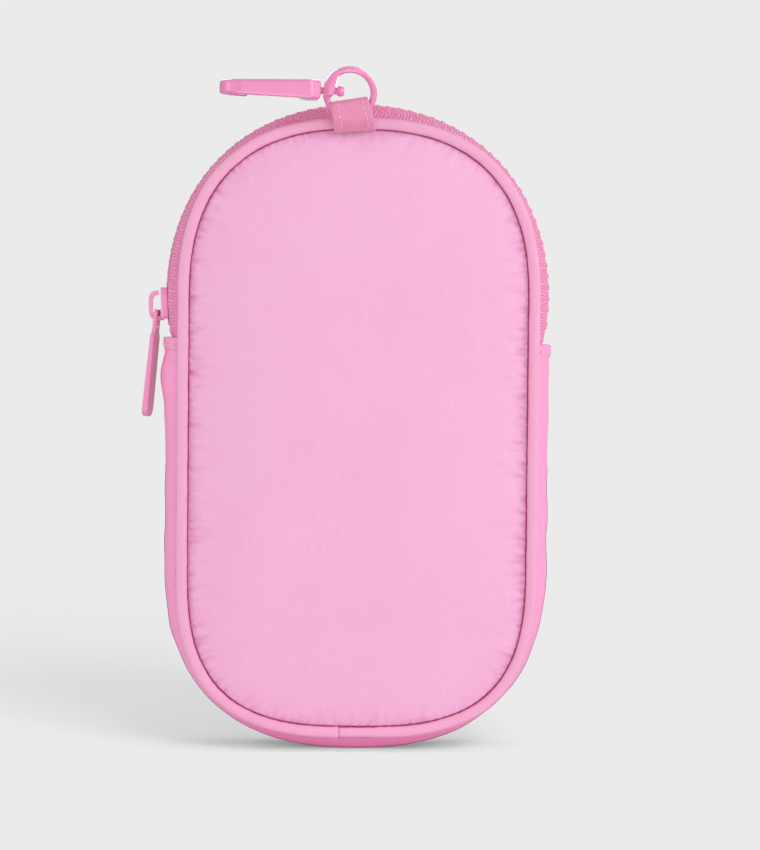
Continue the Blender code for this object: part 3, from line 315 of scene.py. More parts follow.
def offset(line, grow, closed=True):
    """The line moved outwards by grow."""
    before = np.roll(line, 1, axis=0)
    after = np.roll(line, -1, axis=0)
    if not closed:
        before[0], after[-1] = line[0], line[-1]
    along = after - before
    along /= np.linalg.norm(along, axis=1)[:, None] + 1e-12
    normal = np.stack([along[:, 1], -along[:, 0]], axis=1)
    sign = np.sign(np.sum(normal * (line - BODY_CENTRE), axis=1))
    return line + normal * (np.where(sign == 0, 1, sign) * grow)[:, None]


def n3(a, b, c=0.0):
    """Smooth noise from about -1 to 1."""
    return noise.noise(Vector((a, b, c)))


def add_object(name, data):
    obj = bpy.data.objects.new(name, data)
    scene.collection.objects.link(obj)
    return obj


def mesh_object(name, verts, faces, mat, uvs=None):
    """A smooth object with its faces turned outwards; uvs are places on the cloth in metres."""
    mesh = bpy.data.meshes.new(name)
    mesh.from_pydata([tuple(map(float, v)) for v in verts], [], faces)
    if uvs is not None:
        layer = mesh.uv_layers.new(name="metres")
        for loop in mesh.loops:
            layer.data[loop.index].uv = uvs[loop.vertex_index]
    mesh.materials.append(mat)
    bm = bmesh.new()
    bm.from_mesh(mesh)
    bmesh.ops.recalc_face_normals(bm, faces=bm.faces)
    bm.to_mesh(mesh)
    bm.free()
    mesh.shade_smooth()
    return add_object(name, mesh)


def set_painted_shade(obj, values):
    """Stores how much painted shade each point gets, from 0 to 1, for the cloth's colour."""
    layer = obj.data.attributes.new("painted_shade", "FLOAT", "POINT")
    layer.data.foreach_set("value", np.clip(np.array(values, np.float32), 0, 1))


def grid_faces(rows, cols, wrap=False):
    """The quads of a grid of points, closed to a tube by wrap."""
    faces = []
    for i in range(rows - 1):
        for j in range(cols if wrap else cols - 1):
            k = (j + 1) % cols
            faces.append((i * cols + j, i * cols + k, (i + 1) * cols + k, (i + 1) * cols + j))
    return faces


def settle(obj):
    """Applies obj's modifiers."""
    bpy.context.view_layer.update()
    graph = bpy.context.evaluated_depsgraph_get()
    mesh = bpy.data.meshes.new_from_object(obj.evaluated_get(graph), preserve_all_data_layers=True,
                                           depsgraph=graph)
    obj.modifiers.clear()
    obj.data = mesh


def subdivide(obj):
    """Rounds obj by one level of subdivision, applied."""
    mod = obj.modifiers.new("smooth", "SUBSURF")
    mod.levels = mod.render_levels = 1
    settle(obj)


def face_out(obj, axis, side):
    """Turns obj's faces to the given side of an axis."""
    if sum(p.normal[axis] for p in obj.data.polygons) * side < 0:
        obj.data.flip_normals()


def thicken(obj, thickness, offset_share=-1.0):
    """Gives a surface its thickness and smooth shading."""
    mod = obj.modifiers.new("thickness", "SOLIDIFY")
    mod.thickness = thickness
    mod.offset = offset_share
    mod.use_even_offset = False
    settle(obj)
    obj.data.shade_smooth()


def sweep(name, stations, frames, profile, mat):
    """A capped tube through stations: frames has each one's side and out vectors, profile its outline."""
    verts, uvs = [], []
    run, count = 0.0, len(stations)
    for i, (centre, (side, out)) in enumerate(zip(stations, frames)):
        if i:
            run += float(np.linalg.norm(np.array(centre) - np.array(stations[i - 1])))
        points = profile(run)
        for j, (a, b) in enumerate(points):
            verts.append(np.array(centre) + np.array(side) * a + np.array(out) * b)
            uvs.append((run, j))
    cols = len(points)
    faces = grid_faces(count, cols, wrap=True)
    faces.append(tuple(range(cols)))
    faces.append(tuple(range((count - 1) * cols, count * cols)))
    return mesh_object(name, verts, faces, mat, uvs)


STITCH_SIDES = 6
STITCH_ROWS = 7
STITCH_SKEW = 0.00006
STITCH_LOOK_AHEAD = 0.0002


def stitches(name, path, normals, mat, length, gap, width, lift):
    """Thread stitches along a path: each a short loaf that dips into the cloth at both ends."""
    path = np.array(path, float)
    normals = np.array(normals, float)
    seg = np.linalg.norm(np.diff(path, axis=0), axis=1)
    run = np.concatenate([[0], np.cumsum(seg)])
    total = run[-1]
    step = length + gap
    count = max(1, int(total / step))
    start = (total - count * step + gap) / 2

    def at(s):
        p = np.array([np.interp(s, run, path[:, k]) for k in range(3)])
        q = np.array([np.interp(s, run, normals[:, k]) for k in range(3)])
        return p, q / (np.linalg.norm(q) + 1e-12)

    verts, faces = [], []
    ring, rows = STITCH_SIDES, STITCH_ROWS
    for c in range(count):
        base = len(verts)
        skew = STITCH_SKEW * math.sin(c * 12.9898)
        for r in range(rows):
            share = r / (rows - 1)
            s = start + c * step + share * length
            p, q = at(s)
            ahead, _ = at(min(total, s + STITCH_LOOK_AHEAD))
            behind, _ = at(max(0, s - STITCH_LOOK_AHEAD))
            t = ahead - behind
            t /= np.linalg.norm(t) + 1e-12
            b = np.cross(t, q)
            rise = lift - (abs(2 * share - 1) ** 3) * (lift + width * 1.2)
            fat = width * (1 - 0.45 * abs(2 * share - 1) ** 4)
            for k in range(ring):
                w = 2 * math.pi * k / ring
                up = rise + fat * 0.8 * math.sin(w)
                verts.append(p + q * up + b * (fat * math.cos(w) + skew * (2 * share - 1)))
        faces += [tuple(base + k for k in face) for face in grid_faces(rows, ring, wrap=True)]
        faces.append(tuple(base + k for k in range(ring)))
        faces.append(tuple(base + (rows - 1) * ring + k for k in range(ring)))
    return mesh_object(name, verts, faces, mat)


# padded panels

EDGE_Y = 0.0114
CROWN = 0.0048
ROLL_RISE, ROLL_DEPTH = 0.0011, 0.0016
PAD_GAIN = 1.1
PAD_SCALE = 10.0
PAD_CAP = 0.004
CLOTH_FRAMES = 20
SMOOTH_ROUNDS = 90
PAD_THICKNESS = 0.0016
RIM_INSETS = (0.0004, 0.0009, 0.0015, 0.0022, 0.0031, 0.0042)
RIM_COUNT = 360
SEAM_COUNT = 1600
ROW_SHARE = 0.866
PAD_LOW_Z, PAD_REACH, PAD_COLUMNS = 0.005, 0.172, 32
STITCH_PITCH = 0.00238
SIDE_START = 0.030
PUCKER_PITCH, PUCKER_HEIGHT = 0.00125, 0.00050
PUCKER_CREST, PUCKER_REACH = 0.0012, 0.0030
PAD_WAVE, PAD_RIPPLE = 0.00034, 0.00008
PAD_CLOTH = {
    "quality": 6, "mass": 0.3, "tension_stiffness": 15, "compression_stiffness": 15, "shear_stiffness": 5,
    "bending_stiffness": 0.08, "air_damping": 3, "vertex_group_mass": "held", "pin_stiffness": 50,
    "use_pressure": True, "uniform_pressure_force": 1.0, "shrink_min": -0.014,
}


def pad_height(distance, share, crown):
    """Height over the seam: a rolled edge and a crown."""
    return ROLL_RISE * (1 - np.exp(-distance / ROLL_DEPTH)) + crown * (1 - share ** 3.0)


def pad_points(seed, inset=0.00015, step=0.0017):
    """Points and triangles inside the seam: closely set rings along it and a loosely scattered middle."""
    line = offset(closed_line(RIM_COUNT)[0], -inset)
    spots = [Vector(p) for p in line]
    for k, depth in enumerate(RIM_INSETS):
        ring = offset(line, -depth)
        if k % 2:
            ring = (ring + np.roll(ring, 1, axis=0)) / 2
        spots += [Vector(p) for p in ring]
    rnd = random.Random(seed)
    limit = RIM_INSETS[-1] + step * 0.55
    rows = int(PAD_REACH / (step * ROW_SHARE))
    for r in range(rows):
        z = PAD_LOW_Z + r * step * ROW_SHARE
        for c in range(-PAD_COLUMNS, PAD_COLUMNS + 1):
            x = (c + (0.5 if r % 2 else 0)) * step + rnd.uniform(-0.3, 0.3) * step
            zz = z + rnd.uniform(-0.3, 0.3) * step
            away = np.hypot(line[:, 0] - x, line[:, 1] - zz)
            k = int(np.argmin(away))
            inward = np.dot(line[k] - PAD_CENTRE, np.array((x, zz)) - line[k]) < 0
            if inward and away[k] > limit:
                spots.append(Vector((x, zz)))
    edges = [(i, (i + 1) % RIM_COUNT) for i in range(RIM_COUNT)]
    verts, _, faces, *_ = delaunay_2d_cdt(spots, edges, [], 1, 1e-7)
    return np.array([tuple(v) for v in verts]), [tuple(f) for f in faces]


def seam_distance(points):
    """Each point's distance to the seam, place along it and share from the middle to it."""
    line, at, _ = closed_line(SEAM_COUNT)
    tree = KDTree(len(line))
    for k, p in enumerate(line):
        tree.insert((p[0], p[1], 0), k)
    tree.balance()

    def from_centre(spots):
        x, z = (spots - PAD_CENTRE).T
        return np.arctan2(z, x), np.hypot(x, z)

    line_turn, line_far = from_centre(line)
    turn, far = from_centre(points)
    order = np.argsort(line_turn)
    reach = np.interp(turn, line_turn[order], line_far[order], period=2 * math.pi)
    share = np.clip(far / reach, 0, 1)
    found = [tree.find((p[0], p[1], 0)) for p in points]
    return np.array([f[2] for f in found]), at[[f[1] for f in found]], share


def smoothed(values, pairs, fixed, rounds):
    """Averages values over neighbours, rounds times, holding the fixed ones."""
    degree = np.bincount(pairs.ravel(), minlength=len(values)).astype(float)
    result = values.copy()
    for _ in range(rounds):
        total = np.zeros(len(values))
        np.add.at(total, pairs[:, 0], result[pairs[:, 1]])
        np.add.at(total, pairs[:, 1], result[pairs[:, 0]])
        mean = total / degree
        result = np.where(fixed, values, mean)
    return result


def inflate(points, faces, height, fixed):
    """Blows the pad up as cloth held at its seam, a little fuller than its outline: each point's move."""
    mesh = bpy.data.meshes.new("pad_cloth")
    start = np.stack([points[:, 0], -height, points[:, 1]], axis=1) * PAD_SCALE
    mesh.from_pydata([tuple(p) for p in start], [], faces)
    cloth = add_object("pad_cloth", mesh)
    held = cloth.vertex_groups.new(name="held")
    held.add([int(i) for i in np.nonzero(fixed)[0]], 1.0, "REPLACE")
    mod = cloth.modifiers.new("cloth", "CLOTH")
    for key, value in PAD_CLOTH.items():
        setattr(mod.settings, key, value)
    mod.settings.effector_weights.gravity = 0
    mod.collision_settings.use_collision = False
    mod.point_cache.frame_start, mod.point_cache.frame_end = 1, CLOTH_FRAMES
    for step in range(1, CLOTH_FRAMES + 1):
        scene.frame_set(step)
    evaluated = cloth.evaluated_get(bpy.context.evaluated_depsgraph_get())
    result = np.array([tuple(v.co) for v in evaluated.data.vertices])
    bpy.data.objects.remove(cloth)
    scene.frame_set(1)
    move = (result - start) / PAD_SCALE
    size = np.linalg.norm(move, axis=1)
    return move * np.minimum(1, PAD_CAP / np.maximum(size, 1e-9))[:, None]


def padded_panel(name, side, mat, seed):
    """A padded panel: blown up as cloth, puckered along its seam, with painted shade in its folds and along
    its seam.
    """
    points, faces = pad_points(seed)
    distance, _, share = seam_distance(points)
    fixed = distance < 0.0003
    height = pad_height(distance, share, CROWN)
    side_weight = 0.16 + 0.84 * np.exp(-distance / 0.0045)
    move = inflate(points, faces, height, fixed)
    edges = {tuple(sorted((f[k], f[(k + 1) % len(f)]))) for f in faces for k in range(len(f))}
    pairs = np.array(sorted(edges))
    swell = -move[:, 1]
    height = height + PAD_GAIN * side_weight * (swell - smoothed(swell, pairs, fixed, SMOOTH_ROUNDS))
    for k, axis in ((0, 0), (1, 2)):
        shift = move[:, axis]
        points[:, k] += 0.6 * (shift - smoothed(shift, pairs, fixed, SMOOTH_ROUNDS))
    verts = np.stack([points[:, 0], height, points[:, 1]], axis=1)
    obj = mesh_object(name, verts, faces, mat)
    subdivide(obj)
    co = np.array([tuple(v.co) for v in obj.data.vertices])
    distance, at, _ = seam_distance(co[:, [0, 2]])
    side_weight = 0.45 + 0.55 * np.clip((np.abs(co[:, 0]) - SIDE_START) / 0.012, 0, 1)
    painted_shade_values = []
    for k, vert in enumerate(obj.data.vertices):
        d, s, x, z = distance[k], at[k], co[k, 0], co[k, 2]
        near = math.exp(-((d - PUCKER_CREST) / PUCKER_REACH) ** 2) * (1 - math.exp(-d / 0.0007))
        fold = n3(s / PUCKER_PITCH + seed, d / 0.006, seed) + 0.6 * n3(s / 0.0026, d / 0.010, seed + 7)
        wide = PAD_WAVE * n3(x / 0.020 + seed, z / 0.034, 3.1)
        wide += PAD_RIPPLE * n3(x / 0.008, z / 0.018, seed + 5.5)
        y = co[k, 1] + side_weight[k] * PUCKER_HEIGHT * near * fold + wide * min(1.0, d / 0.006)
        vert.co = (x, side * (EDGE_Y + y), z)
        # Painted shade: darker strokes in the puckers' hollows, and a darker band along the seam with a
        # dimple at each stitch, stronger on the left half.
        pucker_shade = max(0.0, -n3(s / PUCKER_PITCH + seed, d / 0.0045, seed) - 0.05)
        stitch_dimple_shade = max(0.0, math.sin(2 * math.pi * s / STITCH_PITCH)) * (1.0 if x < 0 else 0.4)
        rim = (0.10 + 0.50 * stitch_dimple_shade) * math.exp(-d / 0.0010)
        painted_shade_values.append(1.5 * side_weight[k] * pucker_shade * math.exp(-d / 0.0034) + rim)
    set_painted_shade(obj, painted_shade_values)
    face_out(obj, 1, side)
    thicken(obj, PAD_THICKNESS)
    return obj


LINING_RINGS, LINING_AROUND = 46, 420
LINING_INSET, LINING_REACH = 0.0006, 0.0014
LINING_BELOW_PANEL = 0.0026
LINING_FOLD = 1.6 * 0.00052
LINING_THICKNESS = 0.0003


def lining_surface(side, seed):
    """Rings of points from the seam inwards, which reach under the piping above the gusset."""
    line, at, _ = closed_line(LINING_AROUND)
    line = offset(line, -LINING_INSET)
    above_gusset = np.clip((line[:, 1] - GUSSET_TOP - 0.003) / 0.006, 0, 1)
    line = line + (offset(line, LINING_REACH) - line) * above_gusset[:, None]
    edge_y, crown = EDGE_Y - LINING_BELOW_PANEL, CROWN * 0.95
    verts, uvs = [], []
    for i in range(LINING_RINGS - 1):
        share = 1 - (i / (LINING_RINGS - 1)) ** 1.35
        for j in range(LINING_AROUND):
            spot = PAD_CENTRE + (line[j] - PAD_CENTRE) * share
            d = float(np.linalg.norm(line[j] - spot))
            s = at[j]
            roll = 1 - math.exp(-d / ROLL_DEPTH)
            height = edge_y + pad_height(d, share, crown)
            side_weight = 0.45 + 0.75 * min(1, max(0, (abs(line[j][0]) - SIDE_START) / 0.014))
            fold = n3(s / 0.0042 + seed, d / 0.016, seed) + 0.6 * n3(s / 0.0021, d / 0.010, seed + 7)
            near = math.exp(-((d - 0.0022) / 0.0065) ** 2) * roll
            height += side_weight * LINING_FOLD * fold * near
            height += 0.00050 * n3(spot[0] / 0.020 + seed, spot[1] / 0.034, 3.1)
            height += 0.00022 * n3(spot[0] / 0.008, spot[1] / 0.018, seed + 5.5)
            verts.append((spot[0], side * height, spot[1]))
            uvs.append((spot[0], spot[1]))
    verts.append((PAD_CENTRE[0], side * (edge_y + ROLL_RISE + crown), PAD_CENTRE[1]))
    uvs.append((0, 0))
    faces = grid_faces(LINING_RINGS - 1, LINING_AROUND, wrap=True)
    hub = len(verts) - 1
    base = (LINING_RINGS - 2) * LINING_AROUND
    for j in range(LINING_AROUND):
        faces.append((base + j, base + (j + 1) % LINING_AROUND, hub))
    return verts, faces, uvs


def lining_panel(name, side, mat, seed):
    """The lining behind the front or the back panel."""
    verts, faces, uvs = lining_surface(side, seed)
    obj = mesh_object(name, verts, faces, mat, uvs)
    face_out(obj, 1, side)
    thicken(obj, LINING_THICKNESS)
    return obj


front_panel = padded_panel("front_panel", -1, M["panel"], 1.7)
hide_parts("front_panel_upper", "front_panel_lower")
back_panel = padded_panel("back_panel_pad", 1, M["back"], 8.3)
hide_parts("back_panel")
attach(back_panel, "pouch")

front_lining = lining_panel("front_lining", -1, M["lining"], 4.1)
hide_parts("front_lining_upper", "front_lining_lower")
back_lining = lining_panel("back_lining_cloth", 1, M["lining"], 5.9)
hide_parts("back_lining")
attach(back_lining, "pouch")


# piping

PIPE_FLAT = 0.86
PIPE_COUNT, PIPE_POINTS = 520, 18


def make_piping(name, side, mat, seed, join_x):
    """The cord in its cover, with its join at join_x on the base."""
    line, _, total = closed_line(PIPE_COUNT, grow=PIPE_R)
    start = int(np.argmin(np.abs(line[:, 0] - join_x) + np.where(line[:, 1] < 0.03, 0, 9)))
    pts = np.roll(line, -start, axis=0)
    pts = np.vstack([pts, pts[:1]])
    stations, frames = [], []
    for i in range(PIPE_COUNT + 1):
        before = pts[i - 1] if i else pts[-2]
        after = pts[i + 1] if i < PIPE_COUNT else pts[1]
        along = after - before
        along /= np.linalg.norm(along)
        out = np.array((along[1], -along[0]))
        if np.dot(out, pts[i] - BODY_CENTRE) < 0:
            out = -out
        stations.append((pts[i][0], side * PIPE_Y, pts[i][1]))
        frames.append(((0, side, 0), (out[0], 0, out[1])))

    def profile(run):
        wob = 1 + 0.035 * n3(run / 0.006, seed) + 0.02 * n3(run / 0.0022, seed + 3)
        lap = 0.00012 * math.exp(-run / 0.0012) - 0.00016 * math.exp(-max(0.0, total - run) / 0.0010)
        r = PIPE_R * wob + lap
        shift = 0.00010 * n3(run / 0.011, seed + 9)
        points = []
        for k in range(PIPE_POINTS):
            w = 2 * math.pi * k / PIPE_POINTS
            a = math.copysign(abs(math.cos(w)) ** 0.8, math.cos(w)) * PIPE_FLAT
            b = math.copysign(abs(math.sin(w)) ** 0.8, math.sin(w))
            flat = 1.0 if b > 0 else 0.96
            crinkle = 1 + 0.03 * n3(run / 0.0017, k * 0.35, seed) * max(0.0, 0.6 - b)
            points.append((r * a * crinkle, r * b * flat * crinkle + shift))
        return points
    return sweep(name, stations, frames, profile, mat)


front_piping = make_piping("front_piping", -1, M["piping"], 2.2, -0.0050)
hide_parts("front_piping_upper", "front_piping_lower")
back_piping = make_piping("back_piping_cord", 1, M["piping"], 6.4, 0.0050)
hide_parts("back_piping")
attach(back_piping, "pouch")


THREAD_COUNT = 420
SEAM_WANDER, SEAM_JITTER = 0.00024, 0.00014


def seam_thread(name, side):
    """The line of thread in the groove between panel and piping."""
    line, at, _ = closed_line(THREAD_COUNT, grow=0.00005)
    path = []
    for k, (x, z) in enumerate(line):
        wobble = SEAM_WANDER * n3(at[k] / 0.005, side, 2.0) + SEAM_JITTER * n3(at[k] / 0.0013, side, 6.0)
        away = (line[k] - PAD_CENTRE) / np.linalg.norm(line[k] - PAD_CENTRE)
        path.append((x + wobble * away[0], side * (EDGE_Y + 0.00038), z + wobble * away[1]))
    path.append(path[0])
    return stitches(name, path, [(0, side, 0)] * len(path), M["pink_thread"], length=0.0021, gap=0.00028,
                    width=0.00027, lift=0.00020)


def edge_thread_and_shadow(name, side):
    """The line of thread on the outer side of the piping, where it is sewn to the gusset and the tape, laid
    almost without gaps so that its dark pink also paints the seam's shadow.
    """
    line = closed_line(THREAD_COUNT, grow=2 * PIPE_R * 0.955)[0]
    path = [(x, side * (PIPE_Y - 0.0006), z) for x, z in line]
    path.append(path[0])
    return stitches(name, path, [(0, side, 0)] * len(path), M["edge_shadow_thread"], length=0.0040, gap=0.00002,
                    width=0.00017, lift=0.00002)


front_seam = seam_thread("front_seam_thread", -1)
front_edge = edge_thread_and_shadow("front_edge_thread_and_shadow", -1)
back_edge = edge_thread_and_shadow("back_edge_thread_and_shadow", 1)
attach(back_edge, "pouch")
back_seam = seam_thread("back_seam_thread", 1)
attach(back_seam, "pouch")


# gusset

WALL_Y = PIPE_Y - PIPE_R + 0.0004
GUSSET_COUNT = 300
BASE_SHADE, BASE_SHADE_HEIGHT = 0.3, 0.016
FOOT_RADIUS = 0.052
GUSSET_FOLD, GUSSET_WAVE, GUSSET_SINK = 0.00070, 0.00050, 0.0004
KNOLL_Z, KNOLL_REACH, KNOLL_HEIGHT = 0.1025, 0.0065, 0.0014


def gusset_lines(count):
    """Rim and crest points from the left end of the zip round the base to the right end."""
    rim, crest = [], []
    drop = GUSSET_TOP - SEAM_FOOT_Z
    arc = math.pi * FOOT_RADIUS
    side_steps = int(count * drop / (2 * drop + arc))
    for i in range(side_steps):
        z = GUSSET_TOP - drop * i / side_steps
        rim.append((-SEAM_A, z))
        crest.append((-CREST_A, z))
    foot = count - 2 * side_steps
    for i in range(foot + 1):
        a = math.pi * (1 + i / foot)
        rim.append(tuple(polar(a, SEAM_A, SEAM_DROP, SEAM_FOOT_N) + (0, SEAM_FOOT_Z)))
        crest.append(tuple(polar(a, CREST_A, CREST_DROP, CREST_N) + (0, SEAM_FOOT_Z)))
    for i in reversed(range(side_steps)):
        z = RIGHT_TOP - (RIGHT_TOP - SEAM_FOOT_Z) * i / side_steps
        rim.append((SEAM_A, z))
        crest.append((CREST_A, z))
    return np.array(rim), np.array(crest)


def bulge(share):
    """How far the gusset stands out, from 0 at its seams to 1 halfway."""
    return 1 - abs(share) ** 3.0


def make_gusset(name, inset, thickness, mat, seed, rows=25, pucker=1.0):
    """The gusset's band, or its lining at the given inset."""
    rim, crest = gusset_lines(GUSSET_COUNT)
    rim = offset(rim, PIPE_R - inset, closed=False)
    crest = offset(crest, -inset, closed=False)
    run = np.concatenate([[0], np.cumsum(np.linalg.norm(np.diff(crest, axis=0), axis=1))])
    verts, uvs = [], []
    for i in range(len(rim)):
        out = crest[i] - rim[i]
        out = out / (np.linalg.norm(out) + 1e-12)
        for r in range(rows):
            share = 2 * r / (rows - 1) - 1
            p = rim[i] + (crest[i] - rim[i]) * bulge(share)
            s = run[i]
            edge = math.exp(-(1 - abs(share)) / 0.28)
            fold = n3(s / 0.0040 + (5 if share > 0 else 0), share * 0.9, seed) * edge
            deep = n3(s / 0.0085, share * 0.7, seed + 4)
            low = min(1.0, max(0.0, p[1] / 0.012))
            lift = pucker * low * (GUSSET_FOLD * fold + GUSSET_WAVE * deep * (1 - 0.4 * abs(share)))
            lift -= GUSSET_SINK * pucker * low
            near = math.exp(-((p[1] - KNOLL_Z) / KNOLL_REACH) ** 2) * (1 if p[0] < 0 else 0.2)
            lift += KNOLL_HEIGHT * near * (1 - share * share)
            q = p + out * lift
            verts.append((q[0], WALL_Y * share * (1 - inset * 30), max(inset, q[1])))
            uvs.append((s, share * WALL_Y))
    obj = mesh_object(name, verts, grid_faces(len(rim), rows), mat, uvs)
    polygons = obj.data.polygons
    if sum((p.center.z - BODY_CENTRE[1]) * p.normal.z + p.center.x * p.normal.x for p in polygons) < 0:
        obj.data.flip_normals()
    thicken(obj, thickness)
    # Painted shade: the gusset darkens towards the base, where the floor shades it.
    set_painted_shade(obj, [BASE_SHADE * (1 - v.co.z / BASE_SHADE_HEIGHT) for v in obj.data.vertices])
    return obj


gusset = make_gusset("gusset_band", 0.0, 0.0009, M["gusset"], 3.3)
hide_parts("gusset")
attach(gusset, "pouch")
gusset_lining = make_gusset("gusset_lining_cloth", 0.0014, LINING_THICKNESS, M["lining"], 7.7,
                            rows=17, pucker=0.6)
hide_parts("gusset_lining")
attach(gusset_lining, "pouch")


def side_patch(name, side_x, rows, columns, half_depth, thickness, place):
    """A strip of fabric across one side: place gives x and z for a point's shares down and across."""
    verts, uvs = [], []
    for i in range(rows):
        for j in range(columns):
            share = 2 * j / (columns - 1) - 1
            x, z = place(i / (rows - 1), share)
            verts.append((side_x * x, half_depth * share, z))
            uvs.append((z, half_depth * share))
    obj = mesh_object(name, verts, grid_faces(rows, columns), M["gusset"], uvs)
    face_out(obj, 0, side_x)
    thicken(obj, thickness)
    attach(obj, "pouch")


HEM_HEIGHT, HEM_RISE, HEM_THICKNESS = 0.0034, 0.0001, 0.0004
HEM_EDGE, HEM_HALF_DEPTH = 0.00022, WALL_Y * 0.985
HEM_STITCH_DROP, HEM_STITCH_POINTS = 0.0020, 31


def hem(side_x):
    """The folded top hem of the gusset at one side: a second layer with a row of cream stitches."""
    wall_x, depth = SEAM_A + PIPE_R, CREST_A - SEAM_A - PIPE_R
    hem_top = (GUSSET_TOP if side_x < 0 else RIGHT_TOP) + HEM_RISE

    def place(down, share):
        z = hem_top - HEM_HEIGHT * down
        x = wall_x + depth * bulge(share) + HEM_EDGE * (1 - down) ** 0.6 * (0.4 + 0.6 * bulge(share))
        return x + 0.0002 * n3(z / 0.003, share * 2, side_x * 5), z

    name = "hem_left" if side_x < 0 else "hem_right"
    side_patch(name, side_x, 17, 21, HEM_HALF_DEPTH, HEM_THICKNESS, place)
    path, normals = [], []
    for j in range(HEM_STITCH_POINTS):
        share = (2 * j / (HEM_STITCH_POINTS - 1) - 1) * 0.93
        x = wall_x + depth * bulge(share) + HEM_EDGE
        path.append((side_x * x, WALL_Y * share, hem_top - HEM_STITCH_DROP))
        normals.append((side_x, 3 * share * abs(share) * depth / WALL_Y, 0))
    thread_obj = stitches(f"{name}_stitch_0", path, normals, M["cream"], length=0.0019, gap=0.0008,
                          width=0.00019, lift=0.00010)
    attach(thread_obj, "pouch")


hem(-1)
hem(1)


# zip

SQUARE = 0.0011
TAPE_RISE, TAPE_SAG = 0.0004, 0.00025
TAPE_THICKNESS = 0.0006
TAPE_COUNT = 190
TAPE_FLAT_Y = 0.0050
TAPE_ROWS_Y = (WALL_Y + 0.0004, 0.0093, 0.0083, 0.0073, 0.0063, 0.0053, 0.0046, 0.0038, 0.0031, 0.0026)


def arch_radius(angle):
    """Outer radius of the chain: a shade squarer over the shoulders than a circle."""
    return CHAIN_R + SQUARE * math.sin(2 * angle) ** 2 * (1 if math.sin(angle) > 0 else 0)


def arch_point(angle, grow):
    """The point on the chain's outer line moved outwards by grow, as x and z."""
    r = arch_radius(angle) + grow
    return r * math.cos(angle), ARCH_Z + r * math.sin(angle)


def make_tape(name, side, mat):
    """One zip tape, from the piping to the teeth."""
    end = math.asin((RIGHT_TOP - 0.0012 - ARCH_Z) / MID_R)
    rim_pts, mid = [], []
    for i in range(TAPE_COUNT):
        a = end + (math.pi - 2 * end) * i / (TAPE_COUNT - 1)
        x, z = arch_point(a, TAPE_RISE - TOOTH_T / 2)
        mid.append((x, z))
        if 0 <= a <= math.pi:
            p = polar(a, SEAM_A, SEAM_RISE, SEAM_TOP_N) + (0, SEAM_TOP_Z)
            rim_pts.append(tuple(p))
        else:
            level = (SEAM_TOP_Z - GUSSET_TOP) / (ARCH_Z - GUSSET_TOP)
            rim_pts.append((math.copysign(SEAM_A, x), SEAM_TOP_Z + (z - ARCH_Z) * level))
    rim_arr = offset(np.array(rim_pts), PIPE_R, closed=False)
    verts, uvs = [], []
    run = 0.0
    for i in range(TAPE_COUNT):
        if i:
            run += math.dist(mid[i], mid[i - 1])
        direction = np.array(mid[i]) - np.array((0, ARCH_Z))
        direction /= np.linalg.norm(direction)
        for y in TAPE_ROWS_Y:
            share = min(1, max(0, (WALL_Y - y) / (WALL_Y - TAPE_FLAT_Y))) ** 0.8
            p = rim_arr[i] + (np.array(mid[i]) - rim_arr[i]) * share
            sag = TAPE_SAG * n3(run / 0.012, y * 150, side * 2.0)
            p = p + direction * sag * (1 if y > 0.0047 else 0)
            verts.append((p[0], side * y, p[1]))
            uvs.append((run, y))
    obj = mesh_object(name, verts, grid_faces(TAPE_COUNT, len(TAPE_ROWS_Y)), mat, uvs)
    thicken(obj, TAPE_THICKNESS, 0.0)
    return obj


front_tape = make_tape("front_zip_tape", -1, M["tape"])
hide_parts("zip_tape_front", "zip_tape_front_left", "zip_tape_front_right")
back_tape = make_tape("back_zip_tape", 1, M["tape"])
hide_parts("zip_tape_back")
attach(back_tape, "pouch")


TOOTH_SIDES = 10
TOOTH_SPAN = 0.00095
# Sections of a tooth: distance from the middle of the chain, half width and share of the full thickness
TOOTH_SECTIONS = (
    (0.00315, 0.00085, 0.72), (0.0029, 0.00098, 0.86), (0.0019, 0.00100, 1.0), (0.0015, 0.00092, 1.0),
    (0.0011, 0.00058, 0.94), (0.0008, 0.00052, 0.92), (0.0004, 0.00070, 0.94), (0.0, 0.00080, 0.94),
    (-0.00040, 0.00070, 0.88), (-0.00062, 0.00042, 0.74),
)


def one_tooth(bm, angle, side):
    """One moulded tooth: foot gripping the tape, waist, and a rounded head that meets the other row."""
    centre = arch_radius(angle) - TOOTH_T / 2
    rot = Matrix.Rotation(math.pi / 2 - angle, 4, "Y")
    place = Matrix.Translation((0, 0, ARCH_Z)) @ rot
    rings = []
    for y, half, tall in TOOTH_SECTIONS:
        half_t = TOOTH_T / 2 * tall
        ring = []
        for k in range(TOOTH_SIDES):
            w = 2 * math.pi * (k + 0.5) / TOOTH_SIDES
            cx = math.copysign(abs(math.cos(w)) ** 0.55, math.cos(w)) * half
            cz = math.copysign(abs(math.sin(w)) ** 0.45, math.sin(w)) * half_t
            ring.append(bm.verts.new(place @ Vector((cx, side * y, centre + cz))))
        rings.append(ring)
    for a, b in zip(rings, rings[1:]):
        for k in range(TOOTH_SIDES):
            m = (k + 1) % TOOTH_SIDES
            bm.faces.new((a[k], a[m], b[m], b[k]))
    bm.faces.new(rings[0])
    bm.faces.new(rings[-1][::-1])


